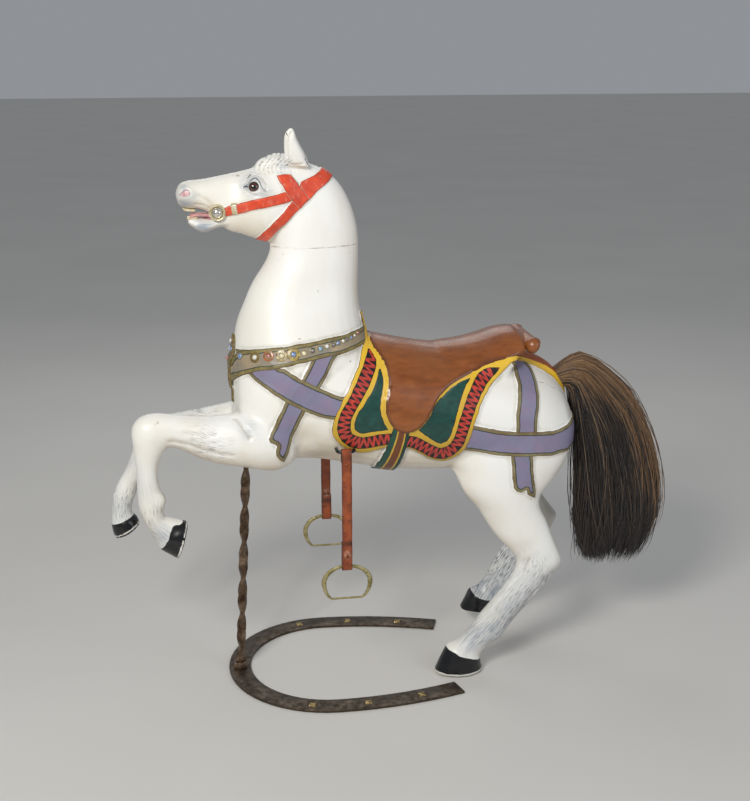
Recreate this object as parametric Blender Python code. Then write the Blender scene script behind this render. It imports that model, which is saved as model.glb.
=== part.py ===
# Carved wooden carousel horse, rearing on its hind legs, on a twisted iron rod with a horseshoe foot.
# Metres, +X towards the tail, +Y to the far side, +Z up. The origin is on the floor under the rod.
import math

import bmesh
import bpy
import numpy as np
from mathutils import Matrix, Vector
from mathutils.bvhtree import BVHTree

# Height of the carved figure to its ear tips. Its pose and carving are shares of this height:
# the points of the figure are written in thousandths of a metre of a horse this tall.
FIGURE_HEIGHT = 1.346
POINTS_PER_HEIGHT = 1346.0
UNIT = FIGURE_HEIGHT / POINTS_PER_HEIGHT

# Carving of the wood
CARVING_GRAIN = 0.006
FIGURE_FACES = 5600
BLANKET_RELIEF = 0.0045
SADDLE_RELIEF = 0.0055
STRAP_RELIEF = 0.0035
BRIDLE_RELIEF = 0.0030
HOOF_CLEARANCE = 0.002

# Gap that every fitted piece keeps to what carries it
FIT_GAP = 0.0003
HAIR_GAP = 0.0015

# Iron stand
SHOE_THICKNESS = 0.006
SHOE_WIDTH = 0.054
SHOE_HALF_SPAN = 0.228
SHOE_TOE = -0.001
SHOE_LENGTH = 0.530
SHOE_HEEL_HALF_SPAN = 0.176
STAND_TURN = math.radians(-2.5)
ROD_WIDTH = 0.021
ROD_THICKNESS = 0.011
ROD_LEAN = math.radians(3.0)
ROD_FOOT_DEPTH = 0.008
ROD_HALF_TURN = 0.095
ROD_SOCKET_DEPTH = 0.060
FOOT_SIZE = 0.034
FOOT_HEIGHT = 0.014
NAIL_SIZE = 0.019
NAIL_RISE = 0.0015
NAILS_PER_ARM = 3
FIRST_NAIL = 0.165
NAIL_SPACING = 0.133

# Stirrup leathers and irons
LEATHER_WIDTH = 0.024
LEATHER_THICKNESS = 0.0035
NEAR_LEATHER_LENGTH = 0.289
FAR_LEATHER_LENGTH = 0.271
LEATHER_FOLD = 0.062
HOOK_DIAMETER = 0.008
HOOK_SPAN = 0.040
HOOK_STAND_OFF = 0.026
IRON_WIDTH = 0.112
IRON_HEIGHT = 0.083
IRON_TREAD_DIAMETER = 0.005
IRON_TOP_THICKNESS = 0.0065
IRON_SIDE_THICKNESS = 0.012
IRON_SIDE_WIDTH = 0.008
RIVET_DIAMETER = 0.007
RIVET_HEIGHT = 0.002

# Fittings of the head
EYE_DIAMETER = 0.028
EYE_PROUD = 0.0045
BOSS_DIAMETER = 0.042
BOSS_DEPTH = 0.012
KEEPER_LENGTH = 0.016
KEEPER_HEIGHT = 0.028
KEEPER_DEPTH = 0.008
KEEPER_SUNK = 0.005

# Real hair tail
TAIL_LOCKS = 9
TAIL_LOCK_RELIEF = 0.005
TAIL_ROOT_FADE = 0.2

# Rings of the figure: front or upper point x z, back or lower point x z, half width, middle y.
TRUNK = [
    (4, 785, 4, 640, 26), (14, 828, 12, 590, 76), (40, 852, 45, 564, 112), (88, 868, 92, 560, 134),
    (140, 872, 140, 559, 144), (200, 868, 200, 555, 151), (260, 862, 260, 544, 156), (320, 852, 320, 532, 158),
    (380, 838, 380, 522, 160), (440, 825, 440, 516, 160), (500, 817, 500, 514, 160), (560, 814, 560, 514, 160),
    (620, 806, 620, 515, 160), (680, 793, 678, 508, 157), (728, 775, 722, 496, 150), (772, 748, 762, 482, 136),
    (806, 712, 796, 490, 112), (829, 668, 822, 524, 76), (840, 630, 838, 566, 30),
]
NECK = [
    (168, 1268, 128, 1252, 24), (222, 1250, 112, 1170, 48), (262, 1217, 104, 1106, 56), (288, 1170, 99, 1072, 60),
    (303, 1114, 92, 1048, 62), (306, 1058, 79, 1024, 66), (304, 986, 55, 988, 74), (306, 940, 33, 940, 88),
    (312, 905, 15, 895, 106), (320, 868, 6, 842, 124), (328, 820, 1, 780, 138), (325, 740, 8, 710, 142),
    (300, 680, 40, 650, 120),
]
HEAD = [
    (-113, 1199, -111, 1184, 14), (-104, 1219, -106, 1172, 31), (-84, 1227, -90, 1165, 37),
    (-58, 1229, -62, 1162, 35), (-28, 1234, -36, 1150, 36), (4, 1240, 0, 1114, 40), (34, 1246, 31, 1104, 48),
    (64, 1253, 58, 1094, 57), (94, 1262, 84, 1087, 61), (125, 1272, 106, 1082, 60), (160, 1275, 126, 1088, 56),
    (205, 1255, 150, 1100, 50),
]
JAW = [
    (14, 1160, 10, 1121, 34), (-18, 1148, -18, 1120, 30), (-36, 1144, -40, 1111, 27), (-54, 1143, -56, 1109, 26),
    (-72, 1143, -72, 1117, 24), (-86, 1146, -88, 1130, 16),
]
FORELOCK = [
    (64, 1256, 72, 1236, 14), (76, 1266, 86, 1236, 24), (92, 1277, 102, 1236, 32), (114, 1284, 122, 1236, 36),
    (140, 1284, 142, 1236, 34), (168, 1275, 162, 1240, 26),
]
EAR = [
    (129, 1262, 190, 1254, 19), (131, 1288, 178, 1286, 18), (131, 1306, 168, 1305, 15), (131, 1322, 160, 1321, 12),
    (134, 1335, 156, 1335, 8), (143, 1345, 151, 1345, 3),
]
EAR_SPREAD = 34
EAR_FLARE = 4
FAR_EAR_BACK = 12
FAR_EAR_DROP = 9
NEAR_FORELEG = [
    (120, 690, 140, 572, 62, -70), (50, 702, 92, 553, 60, -84), (0, 700, 20, 568, 55, -90),
    (-50, 696, -46, 582, 46, -92), (-100, 699, -94, 602, 38, -92), (-142, 704, -132, 622, 34, -91),
    (-184, 709, -154, 626, 34, -90), (-220, 700, -166, 614, 35, -90), (-238, 672, -176, 596, 33, -89),
    (-236, 630, -182, 574, 28, -88), (-232, 575, -182, 552, 24, -88), (-232, 520, -178, 524, 23, -88),
    (-231, 486, -166, 500, 27, -88), (-225, 460, -170, 478, 26, -88), (-211, 428, -172, 456, 23, -88),
    (-199, 402, -152, 450, 26, -88), (-187, 378, -130, 442, 31, -88),
]
NEAR_FORE_HOOF = [
    (-188, 376, -124, 442, 33, -88), (-165, 361, -121, 440, 36, -88), (-144, 347, -117, 434, 39, -88),
]
FAR_FORELEG = [
    (120, 680, 140, 572, 62, 70), (50, 688, 92, 553, 60, 84), (0, 676, 20, 566, 54, 90),
    (-50, 666, -44, 576, 46, 92), (-100, 658, -90, 588, 38, 92), (-145, 652, -128, 594, 34, 91),
    (-188, 644, -156, 588, 34, 90), (-218, 622, -172, 574, 34, 90), (-234, 590, -186, 556, 30, 89),
    (-246, 552, -202, 532, 26, 88), (-262, 516, -216, 506, 24, 88), (-282, 482, -232, 480, 25, 88),
    (-294, 452, -237, 456, 27, 88), (-297, 430, -247, 432, 24, 88), (-299, 404, -250, 408, 25, 88),
    (-301, 382, -243, 396, 30, 88),
]
FAR_FORE_HOOF = [
    (-302, 380, -240, 396, 32, 88), (-300, 360, -236, 388, 35, 88), (-294, 341, -232, 374, 38, 88),
]
HIND_LEG = [
    (580, 720, 806, 680, 56, 72), (534, 640, 820, 620, 70, 80), (508, 575, 808, 548, 70, 86),
    (524, 525, 776, 500, 64, 92), (546, 478, 742, 464, 56, 100), (580, 436, 738, 430, 49, 105),
    (608, 390, 756, 392, 41, 110), (634, 354, 772, 350, 36, 112), (664, 322, 788, 312, 32, 113),
    (682, 294, 797, 284, 31, 113), (676, 264, 776, 250, 30, 112), (654, 228, 744, 206, 28, 111),
    (626, 192, 706, 164, 26, 110), (594, 154, 672, 122, 26, 109), (566, 114, 648, 92, 28, 108),
    (541, 88, 622, 72, 28, 107), (514, 73, 596, 46, 32, 106),
]
NEAR_HIND_HOOF = [(512, 75, 594, 42, 35, -106), (496, 44, 598, 22, 41, -106), (478, 3, 603, 3, 46, -106)]
FAR_HIND_HOOF = [(632, 101, 714, 72, 35, 146), (618, 74, 722, 57, 41, 149), (605, 47, 728, 46, 46, 151)]
CANTLE = [
    (500, 820, 500, 700, 96), (560, 826, 560, 700, 108), (606, 836, 602, 700, 114), (644, 848, 632, 700, 115),
    (678, 852, 646, 728, 106), (696, 849, 654, 768, 96), (704, 843, 664, 788, 88),
]
CANTLE_ROLL = (716, 829, 14, 72)
CANTLE_KNOB_RADIUS = 17

# Padded crupper strap over the croup, from the saddle to the tail
CRUPPER = [
    (664, 802, 664, 780, 34), (700, 800, 694, 776, 28), (738, 788, 728, 764, 22), (774, 768, 758, 744, 20),
    (803, 738, 784, 724, 20), (820, 706, 800, 700, 18), (825, 690, 806, 686, 12),
]

# How far the far hind foot stands behind and above the near one, and how far it is set out
FAR_HIND_REACH = 135.0
FAR_HIND_LIFT = 26.0
FAR_HIND_SPREAD = 45.0
HIP_HEIGHT = 550.0

# Where the lofted limbs run into the body, and how wide the wood is blended there
BLENDS = [
    (95, 620, 150), (60, 540, 90), (40, 700, 80), (60, 850, 120), (560, 560, 110), (700, 640, 160),
    (800, 560, 90), (110, 1085, 60), (230, 1180, 90), (330, 800, 90), (150, 1262, 34), (5, 1150, 22),
]

# Swells and hollows of the carving on both flanks: x, z, radius, height
SWELLS = [
    (70, 1190, 20, 3.5), (60, 1226, 16, 4.0), (104, 1132, 34, 4.0), (-92, 1206, 13, 3.5), (-5, 1183, 45, -2.0),
    (90, 770, 80, 6.0), (70, 655, 55, 5.0), (150, 640, 30, -5.0), (640, 560, 90, 6.0), (560, 500, 40, 5.0),
    (190, 940, 60, -3.0), (150, 1010, 40, 2.5), (200, 560, 34, -9.0), (530, 528, 26, -5.0),
    (-205, 672, 24, 3.0), (-85, 660, 30, 2.0), (770, 285, 18, 3.0), (700, 330, 26, -3.0),
    (-176, 500, 14, 3.0), (636, 92, 16, 3.0),
]

# Cut lines of the carving on both flanks: depth, half width, then the points of the line
CUTS = [
    (3.0, 5.0, [(-152, 648), (-110, 640), (-60, 622), (-10, 612)]),
    (2.5, 5.0, [(-120, 668), (-80, 662), (-45, 664)]),
    (5.0, 8.0, [(-10, 700), (8, 685), (28, 655)]),
    (3.0, 6.0, [(705, 300), (690, 260), (662, 215), (630, 170)]),
    (3.0, 6.0, [(768, 260), (735, 222), (700, 175), (662, 130)]),
    (4.0, 9.0, [(120, 1120), (108, 1098), (104, 1080)]),
    (2.5, 6.0, [(-60, 1196), (-40, 1178), (-32, 1160)]),
    (4.0, 7.0, [(-90, 1208), (-84, 1203), (-84, 1198)]),
    (2.0, 4.0, [(46, 1216), (56, 1202), (74, 1202), (82, 1212)]),
    (2.0, 4.0, [(48, 1226), (58, 1236), (74, 1234), (84, 1222)]),
]

# Painted cloth and straps carved in low relief, as seen from the side
BLANKET_OUTLINE = [
    (302, 1000), (296, 940), (291, 924), (293, 898), (288, 863), (283, 828), (274, 793), (260, 753), (241, 723),
    (227, 700), (220, 676), (222, 657), (231, 639), (245, 624), (261, 615), (285, 609), (320, 611), (349, 615),
    (396, 613), (427, 593), (447, 584), (468, 578), (488, 579), (505, 586), (524, 600), (540, 619), (552, 643),
    (561, 672), (570, 703), (579, 732), (593, 758), (612, 781), (645, 806), (690, 830), (760, 900),
]
SADDLE_OUTLINE = [
    (318, 1000), (305, 905), (310, 868), (322, 847), (336, 827), (345, 803), (350, 774), (350, 743), (346, 719),
    (343, 695), (348, 676), (358, 661), (369, 650), (386, 646), (403, 647), (417, 652), (429, 657), (446, 675),
    (460, 699), (474, 725), (490, 746), (509, 762), (533, 773), (580, 792), (628, 805), (649, 816), (690, 840),
    (700, 1000),
]
GIRTH_LINE = [(384, 650), (368, 612), (352, 574), (340, 530), (330, 480)]
GIRTH_HALF_WIDTH = 24
BREAST_STRAP_LINE = [(300, 880), (232, 860), (160, 845), (100, 836), (50, 828), (14, 816), (-20, 800)]
BREAST_STRAP_HALF_WIDTH = 22
RIBBONS = [
    (25, [(70, 810), (100, 780), (140, 754), (190, 730), (240, 714)]),
    (22, [(212, 836), (174, 778), (136, 718), (88, 620)]),
    (27, [(670, 800), (684, 760), (690, 710), (686, 600), (688, 490)]),
    (29, [(560, 622), (620, 608), (690, 601), (760, 602), (830, 610), (900, 616)]),
]
BRIDLE_STRAPS = [
    (11, [(-12, 1161), (30, 1168), (78, 1177), (140, 1194)]),
    (13, [(84, 1092), (130, 1140), (172, 1180), (225, 1244), (260, 1290)]),
    (17, [(128, 1242), (152, 1208), (174, 1176)]),
]

# Tail of hair: the same kind of rings
TAIL = [
    (776, 738, 784, 706, 14), (806, 756, 808, 706, 18), (832, 773, 834, 706, 28),
    (862, 783, 850, 690, 42), (906, 764, 858, 640, 54), (955, 727, 861, 590, 64),
    (1000, 680, 863, 540, 72), (1038, 612, 864, 484, 76), (1066, 540, 864, 432, 78),
    (1083, 470, 866, 384, 76), (1089, 400, 871, 334, 71), (1080, 338, 879, 290, 62),
    (1052, 290, 890, 258, 50), (1010, 252, 908, 238, 32), (965, 234, 928, 228, 12),
]

# Places of the fittings on the figure, x and z
EYE_PLACE = (63, 1214)
BOSS_PLACE = (-23, 1157)
KEEPER_PLACE = (16, 1165)
NEAR_HOOK_PLACE = (252, 610)
FAR_HOOK_PLACE = (244, 610)

for old in list(bpy.data.objects):
    bpy.data.objects.remove(old)


# Helpers

def painted(name, red, green, blue, roughness, metallic=0.0):
    """A Principled material with one colour, in linear values."""
    material = bpy.data.materials.new(name)
    material.use_nodes = True
    shader = material.node_tree.nodes["Principled BSDF"]
    shader.inputs["Base Color"].default_value = (red, green, blue, 1.0)
    shader.inputs["Roughness"].default_value = roughness
    shader.inputs["Metallic"].default_value = metallic
    return material


def as_object(name, bm, material):
    """Turn a bmesh into a named object with one material, its faces pointing out."""
    bmesh.ops.recalc_face_normals(bm, faces=bm.faces[:])
    if bm.calc_volume(signed=True) < 0:
        bmesh.ops.reverse_faces(bm, faces=bm.faces[:])
    mesh = bpy.data.meshes.new(name)
    bm.to_mesh(mesh)
    bm.free()
    mesh.materials.append(material)
    made = bpy.data.objects.new(name, mesh)
    bpy.context.collection.objects.link(made)
    return made


def apply_modifiers(target):
    """Replace an object's mesh by its evaluated one."""
    bpy.context.view_layer.update()
    seen = target.evaluated_get(bpy.context.evaluated_depsgraph_get())
    mesh = bpy.data.meshes.new_from_object(seen)
    target.modifiers.clear()
    target.data = mesh


def flow(rows, steps):
    """Catmull-Rom curve through rows of numbers, with steps points a span."""
    points = np.array(rows, float)
    padded = np.vstack([2 * points[0] - points[1], points, 2 * points[-1] - points[-2]])
    out = []
    for i in range(1, len(padded) - 2):
        p0, p1, p2, p3 = padded[i - 1:i + 3]
        for step in range(steps):
            t = step / steps
            out.append(0.5 * (2 * p1 + (p2 - p0) * t + (2 * p0 - 5 * p1 + 4 * p2 - p3) * t * t
                              + (3 * p1 - p0 - 3 * p2 + p3) * t ** 3))
    out.append(points[-1])
    return np.array(out)


def add_loop(bm, matrix, sides):
    """A ring of vertices: the unit circle carried by a matrix."""
    return bmesh.ops.create_circle(bm, segments=sides, radius=1.0, matrix=matrix)["verts"]


def join_loops(bm, before, after):
    """Band of faces between two rings of as many vertices, vertex to vertex."""
    for i in range(len(after)):
        bm.faces.new((before[i - 1], before[i], after[i], after[i - 1]))


def skin(bm, matrices, sides):
    """Closed tube over a row of circles given by their matrices."""
    loops = [add_loop(bm, matrix, sides) for matrix in matrices]
    for before, after in zip(loops[:-1], loops[1:]):
        join_loops(bm, before, after)
    bm.faces.new(loops[0])
    bm.faces.new(loops[-1])


def ring_matrix(ring):
    """Matrix of one ring of the figure, in metres."""
    upper_x, upper_z, lower_x, lower_z, half_width = ring[:5]
    middle_y = ring[5] if len(ring) > 5 else 0.0
    across = Vector((upper_x - lower_x, 0, upper_z - lower_z)) * 0.5 * UNIT
    along = Vector((-across.z, 0, across.x)).normalized()
    centre = Vector((upper_x + lower_x, 2 * middle_y, upper_z + lower_z)) * 0.5 * UNIT
    matrix = Matrix.Identity(4)
    matrix.col[0][:3] = across
    matrix.col[1][:3] = Vector((0, half_width * UNIT, 0))
    matrix.col[2][:3] = along
    matrix.col[3][:3] = centre
    return matrix


def loft(bm, rings, steps=3, sides=24):
    """Loft one limb of the figure through its rings."""
    skin(bm, [ring_matrix(ring) for ring in flow(rings, steps)], sides)


def line_distance(points, line):
    """Distance of side-view points to a line, and how far along the line the nearest place is."""
    nearest = np.full(len(points), 1e9)
    along = np.zeros(len(points))
    run = 0.0
    for start, end in zip(line[:-1], line[1:]):
        step = end - start
        length = math.hypot(*step)
        share = np.clip(((points - start) @ step) / length ** 2, 0, 1)
        gap = np.hypot(*(points - start - share[:, None] * step).T)
        closer = gap < nearest
        nearest[closer] = gap[closer]
        along[closer] = run + share[closer] * length
        run += length
    return nearest, along


def inside_outline(points, outline):
    """Signed distance of side-view points to a closed outline, positive inside."""
    closed = np.vstack([outline, outline[:1]])
    gap, _ = line_distance(points, closed)
    crossings = np.zeros(len(points), int)
    for (x0, z0), (x1, z1) in zip(closed[:-1], closed[1:]):
        spans = (z0 > points[:, 1]) != (z1 > points[:, 1])
        at = x0 + (points[:, 1] - z0) * (x1 - x0) / (z1 - z0 + 1e-12)
        crossings += spans & (points[:, 0] < at)
    return np.where(crossings % 2 == 1, gap, -gap)


def step_up(distance, width):
    """Smooth step from 0 outside to 1 inside, over a width on each side of the edge."""
    t = np.clip(distance / (2 * width) + 0.5, 0, 1)
    return t * t * (3 - 2 * t)


# Sub-parts

def far_hind(ring):
    """The far hind leg: the near leg's rings, reached back, lifted and set out towards the foot."""
    upper_x, upper_z, lower_x, lower_z, half_width, middle_y = ring

    def moved(x, z):
        drop = max(0.0, 1 - z / HIP_HEIGHT)
        return x + FAR_HIND_REACH * drop, z + FAR_HIND_LIFT * min(1.0, 2 * drop)

    spread = FAR_HIND_SPREAD * max(0.0, 1 - upper_z / HIP_HEIGHT)
    return (*moved(upper_x, upper_z), *moved(lower_x, lower_z), half_width, middle_y + spread)


def figure_mesh():
    """Lofts of the trunk, neck, head, legs, hooves, ears and saddle back, grown into one carved body."""
    bm = bmesh.new()
    for rings in (TRUNK, NECK, HEAD, JAW, FORELOCK, CANTLE, CRUPPER, NEAR_FORELEG, FAR_FORELEG, NEAR_FORE_HOOF,
                  FAR_FORE_HOOF, NEAR_HIND_HOOF, FAR_HIND_HOOF):
        loft(bm, rings)
    loft(bm, [(*ring[:5], -ring[5]) for ring in HIND_LEG])
    loft(bm, [far_hind(ring) for ring in HIND_LEG])
    loft(bm, [(*ring, -EAR_SPREAD - EAR_FLARE * i) for i, ring in enumerate(EAR)], sides=16)
    loft(bm, [(a + FAR_EAR_BACK, b - FAR_EAR_DROP, c + FAR_EAR_BACK, d - FAR_EAR_DROP, half,
               EAR_SPREAD + EAR_FLARE * i) for i, (a, b, c, d, half) in enumerate(EAR)], sides=16)
    roll_x, roll_z, roll_radius, roll_half = CANTLE_ROLL
    turn = Matrix.Rotation(math.pi / 2, 4, "X")
    place = Matrix.Translation(Vector((roll_x, 0, roll_z)) * UNIT)
    bmesh.ops.create_cone(bm, cap_ends=True, segments=24, radius1=roll_radius * UNIT, radius2=roll_radius * UNIT,
                          depth=2 * roll_half * UNIT, matrix=place @ turn)
    for side in (-1, 1):
        knob = Matrix.Translation(Vector((roll_x + 2, side * (roll_half + 4), roll_z - 1)) * UNIT)
        bmesh.ops.create_uvsphere(bm, u_segments=20, v_segments=12, radius=CANTLE_KNOB_RADIUS * UNIT, matrix=knob)
    return bm


def carve(mesh):
    """Model the muscles, folds, cloth and straps by moving the surface along its normals."""
    count = len(mesh.vertices)
    co = np.empty(count * 3, np.float32)
    mesh.vertices.foreach_get("co", co)
    co = co.reshape(-1, 3).astype(float)
    normal = np.array([v.normal for v in mesh.vertices])
    side_view = co[:, [0, 2]] / UNIT
    rise = np.zeros(count)
    for x, z, radius, height in SWELLS:
        rise += height * UNIT * np.exp(-((side_view - (x, z)) ** 2).sum(1) / radius ** 2)
    for depth, half_width, line in CUTS:
        gap, _ = line_distance(side_view, flow(line, 4))
        rise -= depth * UNIT * np.exp(-(gap / half_width) ** 2)
    flank = step_up(np.abs(normal[:, 1]) - 0.35, 0.15)
    rise *= flank
    edge = 3.0
    blanket = step_up(inside_outline(side_view, flow(BLANKET_OUTLINE, 3)), edge)
    saddle = step_up(inside_outline(side_view, flow(SADDLE_OUTLINE, 3)), edge)
    cloth = np.maximum(BLANKET_RELIEF * blanket, (BLANKET_RELIEF + SADDLE_RELIEF) * saddle)
    gap, _ = line_distance(side_view, flow(GIRTH_LINE, 3))
    cloth = np.maximum(cloth, STRAP_RELIEF * step_up(GIRTH_HALF_WIDTH - gap, edge))
    gap, _ = line_distance(side_view, flow(BREAST_STRAP_LINE, 3))
    cloth = np.maximum(cloth, STRAP_RELIEF * step_up(BREAST_STRAP_HALF_WIDTH - gap, edge))
    for half_width, line in RIBBONS:
        gap, _ = line_distance(side_view, flow(line, 3))
        cloth = np.maximum(cloth, STRAP_RELIEF * step_up(half_width - gap, edge))
    on_head = side_view[:, 1] > 1080
    for half_width, line in BRIDLE_STRAPS:
        gap, _ = line_distance(side_view, flow(line, 3))
        cloth = np.maximum(cloth, BRIDLE_RELIEF * step_up(half_width - gap, edge) * on_head)
    cloth *= side_view[:, 0] < 868
    moved = co + normal * (rise + cloth)[:, None]
    moved[:, 2] = np.maximum(moved[:, 2], HOOF_CLEARANCE)
    mesh.vertices.foreach_set("co", moved.astype(np.float32).ravel())
    mesh.update()


def blend_limbs(figure):
    """Smooth the wood where the limbs run into the body."""
    group = figure.vertex_groups.new(name="blend")
    for vert in figure.data.vertices:
        x, z = vert.co.x / UNIT, vert.co.z / UNIT
        weight = max(1 - math.hypot(x - bx, z - bz) / radius for bx, bz, radius in BLENDS)
        if weight > 0:
            group.add([vert.index], min(1.0, 1.6 * weight), "REPLACE")
    blend = figure.modifiers.new("blend", "SMOOTH")
    blend.factor = 0.6
    blend.iterations = 22
    blend.vertex_group = "blend"


def make_horse():
    """The carved horse, one solid with its saddle, blanket, straps and hooves."""
    figure = as_object("horse", figure_mesh(), painted("cream_paint", 0.78, 0.74, 0.64, 0.3))
    grown = figure.modifiers.new("grown", "REMESH")
    grown.mode = "VOXEL"
    grown.voxel_size = CARVING_GRAIN
    soften = figure.modifiers.new("soften", "SMOOTH")
    soften.factor = 0.5
    soften.iterations = 3
    apply_modifiers(figure)
    blend_limbs(figure)
    apply_modifiers(figure)
    figure.vertex_groups.clear()
    carve(figure.data)
    facets = figure.modifiers.new("facets", "DECIMATE")
    facets.ratio = FIGURE_FACES / (2 * len(figure.data.polygons))
    apply_modifiers(figure)
    return figure


def surface_of(target):
    """Tree of an object's faces, for placing what sits on it."""
    bm = bmesh.new()
    bm.from_mesh(target.data)
    tree = BVHTree.FromBMesh(bm)
    bm.free()
    return tree


def flank_point(tree, place, side):
    """Point and outward normal of the flank at x and z, on the near (-1) or far (+1) side."""
    start = Vector((place[0] * UNIT, side, place[1] * UNIT))
    point, normal, _, _ = tree.ray_cast(start, Vector((0, -side, 0)))
    return point, normal


def turned_to(point, normal):
    """Matrix with its z axis along the normal, at the point."""
    return Matrix.Translation(point) @ normal.to_track_quat("Z", "Y").to_matrix().to_4x4()


def grown_cutter(piece, gap):
    """Copy of a piece, a fitting gap larger all round, to cut its seat with."""
    bm = bmesh.new()
    bm.from_mesh(piece.data)
    bm.transform(piece.matrix_world)
    bm.normal_update()
    push = {vert: vert.normal * vert.calc_shell_factor() * gap for vert in bm.verts}
    for vert, step in push.items():
        vert.co += step
    cutter = as_object(piece.name + "_seat", bm, piece.data.materials[0])
    cutter.hide_render = True
    cutter.display_type = "WIRE"
    return cutter


def cut_seats(body, pieces, gap=FIT_GAP):
    """Cut a seat for each piece into the body, one Boolean a piece."""
    bpy.context.view_layer.update()
    for piece in pieces:
        cut = body.modifiers.new(piece.name, "BOOLEAN")
        cut.operation = "DIFFERENCE"
        cut.solver = "EXACT"
        cut.object = grown_cutter(piece, gap)


def make_rod(tree, iron):
    """Flat bar twisted about its middle and leaning back, from the foot into a plain tenon in the chest."""
    lean = Matrix.Rotation(ROD_LEAN, 4, "Y")
    upward = lean @ Vector((0, 0, 1))
    start = SHOE_THICKNESS + FOOT_HEIGHT - ROD_FOOT_DEPTH
    _, _, _, belly = tree.ray_cast(Vector((0, 0, 0)), upward)
    twisted = belly - ROD_WIDTH - start
    steps = max(8, round(twisted / ROD_HALF_TURN * 6))
    places = [(start + twisted * i / steps, math.pi * twisted / ROD_HALF_TURN * i / steps)
              for i in range(steps + 1)]
    places.append((belly + ROD_SOCKET_DEPTH, places[-1][1]))
    bm = bmesh.new()
    first = last = None
    for height, turn in places:
        corners = [Vector((sx * ROD_WIDTH / 2, sy * ROD_THICKNESS / 2, height))
                   for sx, sy in ((-1, -1), (1, -1), (1, 1), (-1, 1))]
        loop = [bm.verts.new(Matrix.Rotation(turn, 3, "Z") @ corner) for corner in corners]
        if last:
            join_loops(bm, last, loop)
        first = first or loop
        last = loop
    bm.faces.new(first)
    bm.faces.new(last)
    bm.transform(lean)
    return as_object("stand_rod", bm, iron)


def shoe_side(x):
    """Half span of the shoe's middle line at a place along it."""
    widest = SHOE_TOE + SHOE_HALF_SPAN
    if x < widest:
        return SHOE_HALF_SPAN * math.sqrt(1 - ((widest - x) / SHOE_HALF_SPAN) ** 2)
    return SHOE_HALF_SPAN - (SHOE_HALF_SPAN - SHOE_HEEL_HALF_SPAN) * ((x - widest) / (SHOE_LENGTH - widest)) ** 2


def shoe_line(steps=14):
    """Middle line of the horseshoe in plan, from the near heel round the toe to the far heel."""
    widest = SHOE_TOE + SHOE_HALF_SPAN
    places = [widest - SHOE_HALF_SPAN * math.cos(math.pi / 2 * i / steps) for i in range(steps + 1)]
    places += [widest + (SHOE_LENGTH - widest) * i / (steps // 2) for i in range(1, steps // 2 + 1)]
    line = [(x, shoe_side(x)) for x in places]
    return [(x, -y) for x, y in reversed(line)] + line[1:]


def make_shoe(iron):
    """Horseshoe plate on the floor, with straight cut heels."""
    line = [Vector((x, y, 0)) for x, y in shoe_line()]
    bm = bmesh.new()
    rows = []
    for i, point in enumerate(line):
        ahead = (line[min(i + 1, len(line) - 1)] - line[max(i - 1, 0)]).normalized()
        side = Vector((-ahead.y, ahead.x, 0)) * SHOE_WIDTH / 2
        rows.append((bm.verts.new(point - side), bm.verts.new(point + side)))
    for (a, b), (c, d) in zip(rows[:-1], rows[1:]):
        bm.faces.new((a, c, d, b))
    grown = bmesh.ops.extrude_face_region(bm, geom=bm.faces[:])
    raised = [item for item in grown["geom"] if isinstance(item, bmesh.types.BMVert)]
    bmesh.ops.translate(bm, verts=raised, vec=(0, 0, SHOE_THICKNESS))
    bm.transform(Matrix.Rotation(STAND_TURN, 4, "Z"))
    return as_object("horseshoe_base", bm, iron)


def make_block(name, size, centre, material, turn=0.0, taper=1.0):
    """Block on a base, its top smaller by the taper."""
    bm = bmesh.new()
    place = Matrix.Translation(centre) @ Matrix.Rotation(turn, 4, "Z")
    verts = bmesh.ops.create_cube(bm, size=1.0)["verts"]
    for vert in verts:
        if vert.co.z > 0:
            vert.co.x *= taper
            vert.co.y *= taper
        vert.co = place @ Vector((vert.co.x * size[0], vert.co.y * size[1], (vert.co.z + 0.5) * size[2]))
    return as_object(name, bm, material)


def make_nails(brass):
    """Square nail heads on the arms of the shoe, standing a little proud of their seats."""
    nails = []
    turned = Matrix.Rotation(STAND_TURN, 3, "Z")
    for side, side_name in ((-1, "near"), (1, "far")):
        for i in range(NAILS_PER_ARM):
            x = FIRST_NAIL + NAIL_SPACING * i
            slope = (shoe_side(x + 0.001) - shoe_side(x)) / 0.001
            spot = turned @ Vector((x, side * shoe_side(x), SHOE_THICKNESS / 2))
            size = (NAIL_SIZE, NAIL_SIZE, SHOE_THICKNESS / 2 + NAIL_RISE)
            nails.append(make_block(f"nail_{side_name}_{i + 1}", size, spot, brass,
                                    math.atan(side * slope) + STAND_TURN, 0.86))
    return nails


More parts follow.
